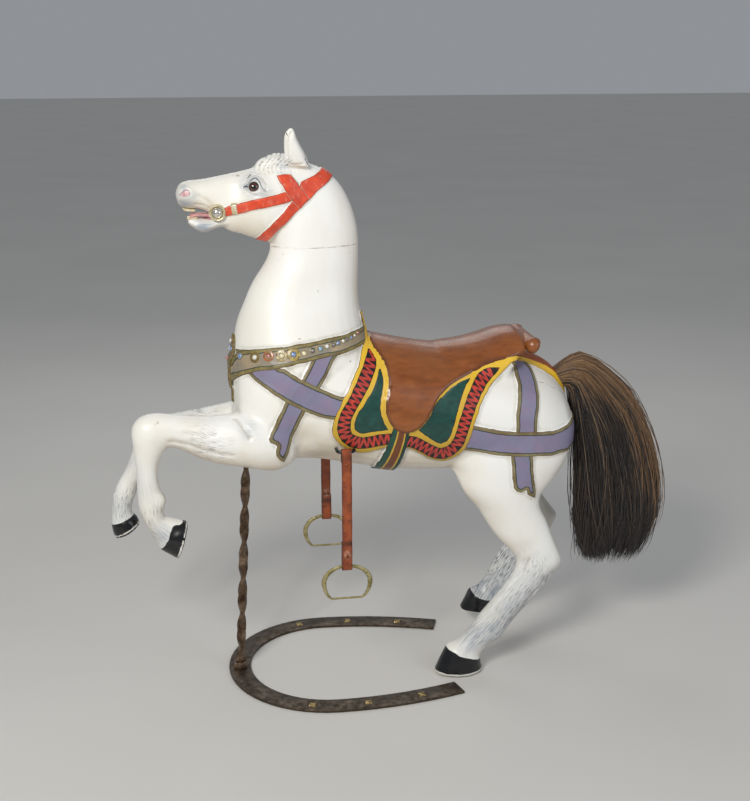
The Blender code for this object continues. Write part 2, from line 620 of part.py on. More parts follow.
def make_iron(name, top, brass):
    """Stirrup iron: a bow, heavy at its sides, over a thin round tread, closed into one ring."""
    half = IRON_WIDTH / 2
    bm = bmesh.new()
    rings = []
    count = 26
    for i in range(count):
        angle = 2 * math.pi * i / count
        squash = 0.80 if math.cos(angle) < 0 else 1.0
        x = half * math.copysign(abs(math.sin(angle)) ** squash, math.sin(angle))
        z = max(-0.5, 0.5 * math.cos(angle) * (1.0 if math.cos(angle) > 0 else 1.25)) * IRON_HEIGHT
        share = min(1.0, abs(x) / half)
        width = IRON_TREAD_DIAMETER + (IRON_SIDE_WIDTH - IRON_TREAD_DIAMETER) * share
        thickness = IRON_TOP_THICKNESS + (IRON_SIDE_THICKNESS - IRON_TOP_THICKNESS) * share
        thickness *= 1 - 0.9 * max(0.0, -z / IRON_HEIGHT)
        if z < -0.49 * IRON_HEIGHT:
            width = thickness = IRON_TREAD_DIAMETER
        rings.append((Vector((x, 0, z)), width, thickness))
    loops = []
    for i, (point, width, thickness) in enumerate(rings):
        ahead = (rings[(i + 1) % count][0] - rings[i - 1][0]).normalized()
        outward = Vector((0, 1, 0)).cross(ahead).normalized()
        matrix = Matrix.Identity(4)
        matrix.col[0][:3] = outward * thickness / 2
        matrix.col[1][:3] = Vector((0, 1, 0)) * width / 2
        matrix.col[2][:3] = ahead
        matrix.col[3][:3] = top + Vector((0, 0, -IRON_HEIGHT / 2)) + point
        loops.append(add_loop(bm, matrix, 6))
    for i in range(count):
        join_loops(bm, loops[i - 1], loops[i])
    return as_object(name, bm, brass)


def make_leather(name, hook, side, drop, leather):
    """Stirrup leather: a strap folded over the hook above and round the iron's bow below."""
    turn_top = HOOK_DIAMETER / 2 + FIT_GAP + LEATHER_THICKNESS / 2
    turn_bottom = IRON_TOP_THICKNESS / 2 + FIT_GAP + LEATHER_THICKNESS / 2 + 0.001
    profile = [(-turn_top, -LEATHER_FOLD * 0.45)]
    for i in range(9):
        angle = math.pi - math.pi * i / 8
        profile.append((turn_top * math.cos(angle), turn_top * math.sin(angle)))
    profile.append((turn_top, -drop * 0.5))
    shift = turn_top - turn_bottom
    profile.append((turn_top, -drop + turn_bottom))
    for i in range(9):
        angle = -math.pi * i / 8
        profile.append((shift + turn_bottom * math.cos(angle), -drop + turn_bottom * math.sin(angle)))
    profile.append((shift - turn_bottom, -drop + LEATHER_FOLD))
    bm = bmesh.new()
    rows = []
    for out, up in profile:
        spot = hook + Vector((0, side * out, up))
        rows.append([bm.verts.new(spot + Vector((s * LEATHER_WIDTH / 2, 0, 0))) for s in (-1, 1)])
    for (a, b), (c, d) in zip(rows[:-1], rows[1:]):
        bm.faces.new((a, b, d, c))
    wall = as_object(name, bm, leather).modifiers.new("wall", "SOLIDIFY")
    wall.thickness = LEATHER_THICKNESS
    wall.offset = 0.0
    wall.use_even_offset = True
    return hook + Vector((0, side * shift, -drop))


def make_rivet(name, spot, side, brass):
    """Rivet head sitting on the outer face of a leather."""
    bm = bmesh.new()
    place = Matrix.Translation(spot + Vector((0, side * RIVET_HEIGHT / 2, 0)))
    turn = Matrix.Rotation(-side * math.pi / 2, 4, "X")
    bmesh.ops.create_cone(bm, cap_ends=True, segments=10, radius1=RIVET_DIAMETER / 2,
                          radius2=RIVET_DIAMETER / 3, depth=RIVET_HEIGHT, matrix=place @ turn)
    return as_object(name, bm, brass)


def make_stirrup(tree, side, side_name, iron, leather, brass):
    """Hook in the belly, leather and iron on one side; returns the hook, which needs a seat."""
    near = side < 0
    drop = NEAR_LEATHER_LENGTH if near else FAR_LEATHER_LENGTH
    skin_point, _ = flank_point(tree, NEAR_HOOK_PLACE if near else FAR_HOOK_PLACE, side)
    hook_middle = Vector((skin_point.x, skin_point.y + side * HOOK_STAND_OFF, skin_point.z))
    half = HOOK_SPAN / 2
    inner = skin_point.y - side * 0.012 - hook_middle.y
    bends = [(-half, inner), (-half, -side * 0.006), (-half * 0.8, 0), (half * 0.8, 0), (half, -side * 0.006),
             (half, inner)]
    path = [hook_middle + Vector((x, y, 0)) for x, y in bends]
    hook = hook_bar(f"stirrup_hook_{side_name}", path, iron)
    bow_middle = make_leather(f"stirrup_leather_{side_name}", hook_middle, side, drop, leather)
    make_iron(f"stirrup_iron_{side_name}", bow_middle + Vector((0, 0, IRON_TOP_THICKNESS / 2)), brass)
    face = side * (HOOK_DIAMETER / 2 + FIT_GAP + LEATHER_THICKNESS + FIT_GAP)
    for place, down in (("upper", 0.030), ("lower", drop - 0.030)):
        make_rivet(f"rivet_{side_name}_{place}", hook_middle + Vector((0, face, -down)), side, brass)
    return hook


def hook_bar(name, path, iron):
    """Round bar bent in plan, its ends in the wood."""
    bm = bmesh.new()
    matrices = []
    for i, point in enumerate(path):
        ahead = (path[min(i + 1, len(path) - 1)] - path[max(i - 1, 0)]).normalized()
        up = Vector((0, 0, 1))
        matrix = Matrix.Identity(4)
        matrix.col[0][:3] = up * HOOK_DIAMETER / 2
        matrix.col[1][:3] = ahead.cross(up) * HOOK_DIAMETER / 2
        matrix.col[2][:3] = ahead
        matrix.col[3][:3] = point
        matrices.append(matrix)
    skin(bm, matrices, 8)
    return as_object(name, bm, iron)


def make_eye(tree, side, side_name, glass):
    """Glass eye, a ball set into the wood and standing a little proud."""
    point, normal = flank_point(tree, EYE_PLACE, side)
    centre = point + normal * (EYE_PROUD - EYE_DIAMETER / 2)
    bm = bmesh.new()
    bmesh.ops.create_uvsphere(bm, u_segments=12, v_segments=7, radius=EYE_DIAMETER / 2,
                              matrix=turned_to(centre, normal))
    return as_object(f"eye_{side_name}", bm, glass)


def make_boss(tree, side, side_name, brass):
    """Bit boss: a rim and a dome turned about the outward normal."""
    point, normal = flank_point(tree, BOSS_PLACE, side)
    radius = BOSS_DIAMETER / 2
    profile = [(1.0, -0.50), (1.0, 0.25), (0.92, 0.42), (0.80, 0.42), (0.68, 0.25), (0.58, 0.29), (0.48, 0.62),
               (0.28, 0.90), (0.10, 1.0)]
    place = turned_to(point, normal)
    bm = bmesh.new()
    rings = []
    for share, height in profile:
        rings.append(place @ Matrix.Translation((0, 0, height * BOSS_DEPTH))
                     @ Matrix.Diagonal((*[share * radius] * 2, 1, 1)))
    skin(bm, rings, 12)
    return as_object(f"bit_boss_{side_name}", bm, brass)


def make_keeper(tree, side, side_name, brass):
    """Brass keeper across the cheek strap."""
    point, normal = flank_point(tree, KEEPER_PLACE, side)
    (back_x, back_z), (front_x, front_z) = BRIDLE_STRAPS[0][1][:2]
    slope = math.atan2(front_z - back_z, front_x - back_x)
    along = Vector((math.cos(slope), 0, math.sin(slope)))
    along = (along - normal * along.dot(normal)).normalized()
    up = normal.cross(along)
    frame = Matrix.Identity(4)
    frame.col[0][:3], frame.col[1][:3], frame.col[2][:3], frame.col[3][:3] = along, up, normal, point
    bm = bmesh.new()
    bmesh.ops.create_cube(bm, size=1.0)
    for vert in bm.verts:
        narrow = 0.8 if vert.co.z > 0 else 1.0
        vert.co = Vector((vert.co.x * KEEPER_LENGTH * narrow, vert.co.y * KEEPER_HEIGHT * narrow,
                          (vert.co.z + 0.5) * KEEPER_DEPTH - KEEPER_SUNK))
    bm.transform(frame)
    return as_object(f"strap_keeper_{side_name}", bm, brass)


def make_tail(hair):
    """Tail of real hair: an arching bunch with long locks round it, its root in the croup."""
    bm = bmesh.new()
    loft(bm, TAIL, steps=1, sides=2 * TAIL_LOCKS)
    bm.normal_update()
    root = Vector((TAIL[0][0] + TAIL[0][2], 0, TAIL[0][1] + TAIL[0][3])) * 0.5 * UNIT
    for i, vert in enumerate(bm.verts):
        reach = min(1.0, (vert.co - root).length / TAIL_ROOT_FADE)
        lock = 1 if i % 2 else -1
        vert.co += vert.normal * lock * reach * TAIL_LOCK_RELIEF
    bmesh.ops.triangulate(bm, faces=bm.faces[:])
    return as_object("tail", bm, hair)


# Assembly

dark_iron = painted("dark_iron", 0.05, 0.042, 0.036, 0.5, 0.8)
brass = painted("brass", 0.42, 0.36, 0.16, 0.35, 0.9)
leather = painted("chestnut_leather", 0.28, 0.07, 0.03, 0.5)
hair = painted("horse_hair", 0.12, 0.08, 0.05, 0.7)
glass = painted("brown_glass", 0.03, 0.012, 0.008, 0.05)

horse = make_horse()
wood = surface_of(horse)
rod = make_rod(wood, dark_iron)
seated = [rod]
for side, side_name in ((-1, "near"), (1, "far")):
    seated.append(make_stirrup(wood, side, side_name, dark_iron, leather, brass))
    seated.append(make_eye(wood, side, side_name, glass))
    seated.append(make_boss(wood, side, side_name, brass))
    seated.append(make_keeper(wood, side, side_name, brass))
cut_seats(horse, seated)
cut_seats(horse, [make_tail(hair)], HAIR_GAP)

shoe = make_shoe(dark_iron)
foot = make_block("rod_foot", (FOOT_SIZE, FOOT_SIZE, FOOT_HEIGHT), Vector((0, 0, SHOE_THICKNESS + FIT_GAP)),
                  dark_iron, STAND_TURN, 0.8)
cut_seats(foot, [rod])
cut_seats(shoe, make_nails(brass))
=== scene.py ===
# Carved and painted carousel horse on its horseshoe stand.
# Metres, +X towards the tail, +Y to the far side, +Z up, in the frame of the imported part.
import math
import random

import bmesh
import bpy
import numpy as np
from mathutils import Matrix, Vector
from mathutils.bvhtree import BVHTree


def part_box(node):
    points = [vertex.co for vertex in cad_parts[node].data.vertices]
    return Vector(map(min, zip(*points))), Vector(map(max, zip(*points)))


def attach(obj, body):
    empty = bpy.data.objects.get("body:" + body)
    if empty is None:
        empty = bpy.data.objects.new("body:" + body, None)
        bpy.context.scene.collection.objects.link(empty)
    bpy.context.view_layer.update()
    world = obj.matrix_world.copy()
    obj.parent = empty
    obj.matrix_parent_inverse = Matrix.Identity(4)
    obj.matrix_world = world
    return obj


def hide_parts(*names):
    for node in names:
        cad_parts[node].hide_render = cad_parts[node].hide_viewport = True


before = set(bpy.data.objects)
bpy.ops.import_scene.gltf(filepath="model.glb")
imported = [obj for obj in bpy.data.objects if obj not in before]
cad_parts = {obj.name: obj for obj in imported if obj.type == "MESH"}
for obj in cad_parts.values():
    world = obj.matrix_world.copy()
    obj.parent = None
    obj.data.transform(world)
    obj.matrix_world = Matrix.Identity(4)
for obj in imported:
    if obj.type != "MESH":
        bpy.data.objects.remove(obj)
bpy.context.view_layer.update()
random.seed(7)

MM = 0.001
NEAR, FAR = -1, 1
SIDES = ((NEAR, "near"), (FAR, "far"))

# Grain of the carving, as the spacing of the points of its surface
BODY_GRAIN = 0.0048
HEAD_GRAIN = 0.0022
BLEND_GRAIN = 0.006
BLEND_PASSES = 22
BLEND_LEVELS = 10
NECK_JOINT_HEIGHT = 1.0745
# Strength of the head's painted shade in its recesses
HEAD_RECESS_SHADE_GAIN = 1.6
NECK_JOINT_GAP = 0.0002

# Brush strokes follow a leg this far from its middle, and differ from side to side, in mm
LEG_REACH, SIDE_SHIFT = 75, 200

# Reading of a painted zone where it doesn't reach, in mm
OUTSIDE = -20.0

# Relief of the carving, in mm
BLANKET_RELIEF = 4.5
SADDLE_RELIEF = 10.0
STRAP_RELIEF = 3.5
BREAST_RELIEF = 4.5
CRUPPER_RELIEF = 2.8
PIPING_RELIEF = 6.0
PANEL_DEPTH = 1.6
GIRTH_RELIEF = 6.5
BRIDLE_RELIEF = 3.0
BROW_RELIEF = 4.6

# Half widths of the steps at the edges, and the raised border of ribbons and breast strap, in mm
EDGE, FINE_EDGE, BRIDLE_EDGE = 2.4, 1.5, 1.6
RIDGE_RELIEF, RIDGE_INSET, RIDGE_WIDTH = 0.9, 4.5, 3.6

# Heights where girth and piping end, and the saddle's rear end, in mm
GIRTH_TOP, PIPING_TOP, SADDLE_END = 675, 900, 692

HOOF_CLEARANCE = 0.002

# Rings of the figure, in mm: upper point x z, lower point x z, half width, middle y
TRUNK = [
    (4, 785, 4, 640, 26), (14, 828, 12, 590, 76), (40, 852, 45, 564, 112), (88, 868, 92, 560, 134),
    (140, 872, 140, 559, 144), (200, 868, 200, 555, 151), (260, 862, 260, 544, 156),
    (320, 852, 320, 532, 158), (380, 838, 380, 522, 160), (440, 825, 440, 516, 160),
    (500, 817, 500, 514, 160), (560, 814, 560, 514, 160), (620, 806, 620, 515, 160),
    (680, 793, 678, 508, 157), (728, 775, 722, 496, 150), (772, 748, 762, 482, 136),
    (806, 712, 796, 490, 112), (829, 668, 822, 524, 76), (840, 630, 838, 566, 30),
]
NECK = [
    (168, 1268, 128, 1252, 24), (222, 1250, 112, 1170, 48), (262, 1217, 104, 1106, 56),
    (288, 1170, 99, 1072, 60), (303, 1114, 92, 1048, 62), (306, 1058, 79, 1024, 66), (304, 986, 55, 988, 74),
    (306, 940, 33, 940, 88), (312, 905, 15, 895, 106), (320, 868, 6, 842, 124), (328, 820, 1, 780, 138),
    (325, 740, 8, 710, 142), (300, 680, 40, 650, 120),
]
HEAD = [
    (-113, 1199, -111, 1184, 14), (-104, 1219, -106, 1172, 31), (-84, 1227, -90, 1165, 37),
    (-58, 1229, -62, 1162, 35), (-28, 1234, -36, 1150, 36), (4, 1240, 0, 1114, 40), (34, 1246, 31, 1104, 48),
    (64, 1253, 58, 1094, 57), (94, 1262, 84, 1087, 61), (125, 1272, 106, 1082, 60),
    (160, 1275, 126, 1088, 56), (205, 1255, 150, 1100, 50),
]
JAW = [
    (14, 1160, 10, 1121, 34), (-18, 1148, -18, 1120, 30), (-36, 1144, -40, 1111, 27),
    (-54, 1143, -56, 1109, 26), (-72, 1143, -72, 1117, 24), (-86, 1146, -88, 1130, 16),
]
FORELOCK = [
    (64, 1256, 72, 1236, 14), (76, 1266, 86, 1236, 24), (92, 1277, 102, 1236, 32), (114, 1284, 122, 1236, 36),
    (140, 1284, 142, 1236, 34), (168, 1275, 162, 1240, 26),
]
EAR = [
    (129, 1262, 190, 1254, 19), (131, 1288, 178, 1286, 18), (131, 1306, 168, 1305, 15),
    (131, 1322, 160, 1321, 12), (134, 1335, 156, 1335, 8), (143, 1345, 151, 1345, 3),
]
EAR_SPREAD, EAR_FLARE = 34, 4
FAR_EAR_BACK, FAR_EAR_DROP = 12, 9
NEAR_FORELEG = [
    (120, 690, 140, 572, 62, -70), (50, 702, 92, 553, 60, -84), (0, 700, 20, 568, 55, -90),
    (-50, 696, -46, 582, 46, -92), (-100, 699, -94, 602, 38, -92), (-142, 704, -132, 622, 34, -91),
    (-184, 709, -154, 626, 34, -90), (-220, 700, -166, 614, 35, -90), (-238, 672, -176, 596, 33, -89),
    (-236, 630, -182, 574, 28, -88), (-232, 575, -182, 552, 24, -88), (-232, 520, -178, 524, 23, -88),
    (-231, 486, -166, 500, 27, -88), (-225, 460, -170, 478, 26, -88), (-211, 428, -172, 456, 23, -88),
    (-199, 402, -152, 450, 26, -88), (-187, 378, -130, 442, 31, -88),
]
NEAR_FORE_HOOF = [
    (-188, 376, -124, 442, 33, -88), (-165, 361, -121, 440, 36, -88), (-144, 347, -117, 434, 39, -88),
]
FAR_FORELEG = [
    (120, 680, 140, 572, 62, 70), (50, 688, 92, 553, 60, 84), (0, 676, 20, 566, 54, 90),
    (-50, 666, -44, 576, 46, 92), (-100, 658, -90, 588, 38, 92), (-145, 652, -128, 594, 34, 91),
    (-188, 644, -156, 588, 34, 90), (-218, 622, -172, 574, 34, 90), (-234, 590, -186, 556, 30, 89),
    (-246, 552, -202, 532, 26, 88), (-262, 516, -216, 506, 24, 88), (-282, 482, -232, 480, 25, 88),
    (-294, 452, -237, 456, 27, 88), (-297, 430, -247, 432, 24, 88), (-299, 404, -250, 408, 25, 88),
    (-301, 382, -243, 396, 30, 88),
]
FAR_FORE_HOOF = [(-302, 380, -240, 396, 32, 88), (-300, 360, -236, 388, 35, 88), (-294, 341, -232, 374, 38, 88)]
HIND_LEG = [
    (580, 720, 806, 680, 56, 72), (534, 640, 820, 620, 70, 80), (508, 575, 808, 548, 70, 86),
    (524, 525, 776, 500, 64, 92), (546, 478, 742, 464, 56, 100), (580, 436, 738, 430, 49, 105),
    (608, 390, 756, 392, 41, 110), (634, 354, 772, 350, 36, 112), (664, 322, 788, 312, 32, 113),
    (682, 294, 797, 284, 31, 113), (676, 264, 776, 250, 30, 112), (654, 228, 744, 206, 28, 111),
    (626, 192, 706, 164, 26, 110), (594, 154, 672, 122, 26, 109), (566, 114, 648, 92, 28, 108),
    (541, 88, 622, 72, 28, 107), (514, 73, 596, 46, 32, 106),
]
NEAR_HIND_HOOF = [(512, 75, 594, 42, 35, -106), (496, 44, 598, 22, 41, -106), (478, 3, 603, 3, 46, -106)]
FAR_HIND_HOOF = [(632, 101, 714, 72, 35, 146), (618, 74, 722, 57, 41, 149), (605, 47, 728, 46, 46, 151)]
CANTLE = [
    (500, 820, 500, 700, 96), (560, 826, 560, 700, 108), (606, 836, 602, 700, 114), (644, 848, 632, 700, 115),
    (678, 852, 646, 728, 106), (696, 849, 654, 768, 96), (704, 843, 664, 788, 88),
]
CANTLE_ROLL = (716, 829, 14, 72)
CANTLE_KNOB = 17
CRUPPER = [
    (664, 802, 664, 780, 34), (700, 800, 694, 776, 28), (738, 788, 728, 764, 22), (774, 768, 758, 744, 20),
    (803, 738, 784, 724, 20), (820, 706, 800, 700, 18), (825, 690, 806, 686, 12),
]
TAIL = [
    (776, 738, 784, 706, 14), (806, 756, 808, 706, 18), (832, 773, 834, 706, 28), (862, 783, 850, 690, 42),
    (906, 764, 858, 640, 54), (955, 727, 861, 590, 64), (1000, 680, 863, 540, 72), (1038, 612, 864, 484, 76),
    (1066, 540, 864, 432, 78), (1083, 470, 866, 384, 76), (1089, 400, 871, 334, 71),
    (1080, 338, 879, 290, 62), (1052, 290, 890, 258, 50), (1010, 252, 908, 238, 32), (965, 234, 928, 228, 12),
]
FAR_HIND_REACH, FAR_HIND_LIFT, FAR_HIND_SPREAD, HIP_HEIGHT = 135.0, 26.0, 45.0, 550.0

# Where the limbs are blended into the body: x, z, radius in mm
BLENDS = [
    (95, 620, 150), (60, 540, 90), (40, 700, 80), (60, 850, 120), (560, 560, 110), (700, 640, 160),
    (800, 560, 90), (110, 1085, 60), (230, 1180, 90), (330, 800, 90), (150, 1262, 34), (5, 1150, 22),
]

# Swells and hollows of the flanks: x, z, radius, height in mm
SWELLS = [
    (70, 1190, 20, 3.5), (60, 1226, 16, 4.0), (104, 1132, 34, 4.0), (-92, 1206, 13, 3.5),
    (-5, 1183, 45, -2.0), (90, 770, 80, 6.0), (70, 655, 55, 5.0), (150, 640, 30, -5.0), (640, 560, 90, 6.0),
    (560, 500, 40, 5.0), (190, 940, 60, -3.0), (150, 1010, 40, 2.5), (200, 560, 34, -9.0),
    (530, 528, 26, -5.0), (-205, 672, 24, 3.0), (-85, 660, 30, 2.0), (770, 285, 18, 3.0),
    (700, 330, 26, -3.0), (-176, 500, 14, 3.0), (636, 92, 16, 3.0),
]

# Cut lines of the flanks: depth, half width, then the points of the line, in mm
CUTS = [
    (3.0, 5.0, [(-152, 648), (-110, 640), (-60, 622), (-10, 612)]),
    (2.5, 5.0, [(-120, 668), (-80, 662), (-45, 664)]),
    (5.0, 8.0, [(-10, 700), (8, 685), (28, 655)]),
    (3.0, 6.0, [(705, 300), (690, 260), (662, 215), (630, 170)]),
    (3.0, 6.0, [(768, 260), (735, 222), (700, 175), (662, 130)]),
    (4.0, 9.0, [(120, 1120), (108, 1098), (104, 1080)]),
    (2.5, 6.0, [(-60, 1196), (-40, 1178), (-32, 1160)]),
]

# Finer carving of the head alone
HEAD_SWELLS = [(-91, 1202, 7, -7.0), (-98, 1196, 10, 2.5), (63, 1214, 9, -3.0), (20, 1206, 24, -2.5)]
HEAD_CUTS = [
    (2.6, 2.6, [(-97, 1204), (-90, 1209), (-82, 1205), (-80, 1198)]),
    (1.8, 2.5, [(40, 1214), (50, 1204), (64, 1199), (78, 1203), (88, 1210)]),
    (2.2, 2.5, [(42, 1222), (52, 1235), (66, 1240), (80, 1233), (88, 1222)]),
    (1.4, 2.2, [(46, 1240), (60, 1247), (78, 1243)]),
    (1.6, 3.0, [(-70, 1176), (-50, 1172), (-40, 1164)]),
    (1.5, 3.0, [(-78, 1136), (-56, 1128), (-34, 1130), (-20, 1136)]),
    (3.2, 3.2, [(140, 1270), (137, 1292), (139, 1315), (146, 1334)]),
    (2.0, 3.0, [(134, 1268), (152, 1262), (172, 1264)]),
]

# Where the forelock's locks are combed: x, z, radius, strength
LOCK_SPOTS = [(80, 1264, 17, 1.0), (98, 1270, 19, 1.0), (122, 1272, 20, 1.0)]
LOCK_RELIEF = 1.25

# Painted cloth and straps, as closed outlines seen from the side, in mm
BLANKET = [
    (303, 915), (305, 903), (310, 887), (309, 870), (309, 854), (300, 837), (293, 820), (287, 806),
    (276, 790), (265, 771), (255, 752), (244, 738), (235, 717), (227, 703), (222, 688), (219, 670),
    (222, 651), (230, 637), (245, 619), (265, 606), (289, 599), (311, 603), (334, 610), (359, 621),
    (386, 616), (408, 608), (429, 594), (451, 580), (472, 570), (492, 567), (510, 575), (527, 588),
    (538, 607), (543, 623), (549, 644), (555, 667), (563, 687), (571, 709), (583, 728), (598, 746),
    (616, 760), (634, 778), (652, 794), (670, 804), (711, 792), (760, 900), (330, 918),
]
SADDLE = [
    (318, 1000), (319, 940), (321, 898), (323, 870), (323, 849), (328, 835), (337, 823), (345, 810),
    (351, 795), (353, 776), (352, 759), (348, 742), (344, 724), (343, 706), (346, 693), (353, 679),
    (361, 667), (373, 658), (390, 653), (406, 655), (423, 663), (437, 677), (446, 690), (455, 706),
    (464, 721), (475, 733), (492, 747), (513, 757), (534, 765), (553, 772), (571, 780), (591, 790),
    (615, 797), (640, 802), (659, 807), (700, 812), (742, 812), (748, 850), (700, 1000),
]
FRONT_GREEN = [
    (336, 800), (330, 785), (322, 767), (313, 752), (302, 738), (292, 722), (280, 709), (273, 695),
    (270, 680), (271, 667), (279, 659), (290, 655), (307, 657), (325, 660), (348, 662), (355, 664),
    (343, 677), (334, 695), (331, 716), (334, 738), (339, 757), (342, 776), (340, 788),
]
REAR_GREEN = [
    (554, 765), (541, 752), (531, 736), (523, 719), (516, 701), (510, 683), (504, 662), (498, 642),
    (490, 627), (476, 620), (464, 625), (449, 636), (434, 647), (420, 658), (432, 670), (444, 683),
    (454, 702), (461, 715), (472, 727), (489, 742), (507, 751), (531, 760),
]
BREAST_STRAP = [
    (335, 890), (309, 883), (285, 881), (259, 877), (233, 875), (209, 873), (185, 869), (162, 866),
    (139, 863), (116, 858), (94, 856), (72, 853), (50, 848), (29, 842), (18, 836), (10, 825), (3, 815),
    (-2, 803), (-40, 795), (-40, 760), (4, 740), (5, 761), (14, 777), (27, 786), (42, 794), (59, 802),
    (81, 806), (103, 811), (126, 816), (148, 822), (172, 826), (195, 831), (219, 834), (244, 835), (265, 838),
    (283, 841), (306, 845), (335, 850),
]
BREAST_RIBBON = [
    (60, 850), (105, 812), (116, 811), (130, 800), (147, 789), (165, 780), (183, 769), (202, 760), (222, 751),
    (240, 744), (252, 743), (300, 725), (300, 680), (225, 691), (202, 695), (180, 703), (156, 714),
    (134, 725), (112, 737), (92, 750), (75, 762), (60, 772), (48, 781), (37, 792), (10, 840),
]
SHOULDER_RIBBON = [
    (190, 860), (174, 826), (167, 813), (159, 800), (152, 787), (135, 765), (116, 739), (107, 720), (97, 699),
    (88, 679), (78, 662), (71, 648), (75, 641), (87, 634), (91, 630), (87, 620), (89, 608), (98, 594),
    (108, 588), (118, 610), (123, 629), (130, 649), (139, 671), (148, 692), (157, 710), (166, 729),
    (183, 754), (200, 775), (210, 792), (218, 807), (226, 822), (237, 835), (250, 870),
]
RUMP_RIBBON = [
    (640, 830), (654, 798), (667, 776), (667, 761), (668, 743), (665, 722), (660, 701), (656, 676),
    (656, 642), (650, 608), (646, 580), (649, 551), (651, 523), (656, 499), (663, 490), (674, 486),
    (687, 492), (691, 479), (700, 473), (714, 463), (713, 488), (706, 518), (702, 547), (700, 575),
    (705, 604), (709, 639), (710, 668), (716, 693), (720, 716), (721, 737), (720, 754), (718, 769),
    (710, 781), (700, 830),
]
RUMP_BAND = [
    (530, 668), (553, 663), (581, 655), (607, 649), (634, 644), (661, 641), (691, 638), (724, 635),
    (751, 632), (773, 634), (792, 637), (808, 643), (900, 652), (900, 573), (809, 573), (797, 571),
    (775, 573), (752, 570), (724, 574), (693, 576), (662, 579), (635, 581), (609, 584), (587, 588),
    (563, 595), (541, 598), (520, 603),
]
CHEEK_STRAP = [
    (-9, 1168), (7, 1174), (29, 1179), (51, 1186), (73, 1190), (96, 1195), (119, 1200), (141, 1208),
    (164, 1194), (146, 1183), (129, 1178), (106, 1173), (84, 1169), (61, 1165), (40, 1158), (24, 1154),
    (6, 1150), (-7, 1148),
]
THROAT_STRAP = [
    (58, 1086), (73, 1104), (88, 1122), (101, 1137), (118, 1152), (132, 1167), (146, 1182), (160, 1209),
    (168, 1224), (182, 1230), (197, 1236), (214, 1246), (262, 1292), (284, 1264), (240, 1228), (232, 1221),
    (219, 1212), (203, 1201), (189, 1186), (177, 1176), (164, 1164), (152, 1153), (136, 1137), (120, 1121),
    (107, 1107), (94, 1091), (78, 1070),
]
BROW_PIECE = [
    (112, 1238), (129, 1241), (145, 1240), (152, 1231), (165, 1214), (176, 1200), (186, 1186), (175, 1175),
    (164, 1164), (150, 1178), (136, 1195), (126, 1212),
]

# Edges of the blanket's black band and of the girth, and the yellow piping, as open lines
BAND_OUTER = [
    (317, 837), (307, 821), (297, 805), (285, 786), (273, 765), (263, 748), (251, 729), (239, 710),
    (233, 691), (231, 668), (235, 650), (245, 635), (262, 620), (286, 613), (309, 615), (332, 621),
    (350, 625), (388, 619), (407, 614), (428, 602), (449, 588), (469, 578), (490, 576), (508, 585),
    (521, 600), (531, 616), (537, 638), (543, 660), (550, 683), (561, 708), (572, 729), (588, 748),
    (607, 765), (627, 787),
]
BAND_INNER = [
    (331, 814), (328, 803), (322, 789), (315, 778), (306, 761), (296, 747), (285, 730), (276, 716),
    (268, 702), (262, 688), (261, 670), (265, 657), (277, 649), (291, 645), (307, 648), (325, 652),
    (349, 654), (412, 644), (430, 635), (449, 623), (470, 611), (477, 609), (489, 613), (500, 621),
    (506, 636), (512, 656), (519, 680), (527, 701), (535, 720), (547, 741), (560, 759), (575, 774),
    (588, 785),
]
GIRTH_LEFT = [
    (362, 675), (356, 646), (351, 628), (346, 608), (340, 586), (334, 564), (331, 541), (326, 470),
]
GIRTH_RIGHT = [
    (400, 675), (397, 632), (394, 612), (391, 589), (388, 568), (385, 546), (384, 532), (381, 470),
]
FRONT_PIPING = [
    (316, 874), (314, 855), (318, 843), (325, 832), (334, 819), (341, 808), (347, 794), (349, 776),
    (347, 759), (344, 742), (339, 725), (338, 706), (340, 690), (347, 675), (355, 662),
]
REAR_PIPING = [
    (475, 729), (492, 743), (510, 753), (531, 761), (552, 768), (571, 776), (590, 786), (614, 793),
    (640, 800), (665, 805),
]
FRONT_PIPING_HALF, REAR_PIPING_HALF = 3.8, 2.2
ZIGZAGS = 49

# Nostril, inside of the mouth and rims of the eyelids
NOSTRIL = [
    (-105, 1198), (-99, 1206), (-92, 1210), (-86, 1210), (-81, 1206), (-80, 1200), (-86, 1195), (-97, 1194),
]
MOUTH = [(-112, 1166), (-60, 1163), (-38, 1150), (-20, 1146), (-38, 1140), (-60, 1142), (-90, 1140)]
UPPER_LID = [
    (41, 1215), (48, 1220), (53, 1227), (58, 1231), (65, 1234), (71, 1230), (75, 1224), (78, 1215),
    (87, 1205),
]
LOWER_LID = [
    (41, 1214), (46, 1208), (52, 1203), (61, 1200), (71, 1199), (80, 1201), (88, 1204),
]

# Where the tail's hair is tan, seen from the side, in mm
TAN_HAIR = [
    (730, 745), (770, 790), (843, 840), (900, 820), (960, 770), (1020, 710), (1080, 640), (1120, 540),
    (1130, 430), (1120, 380), (1068, 379), (1046, 440), (1024, 505), (996, 580), (962, 642), (922, 686),
    (880, 712), (842, 725), (800, 728), (760, 720),
]

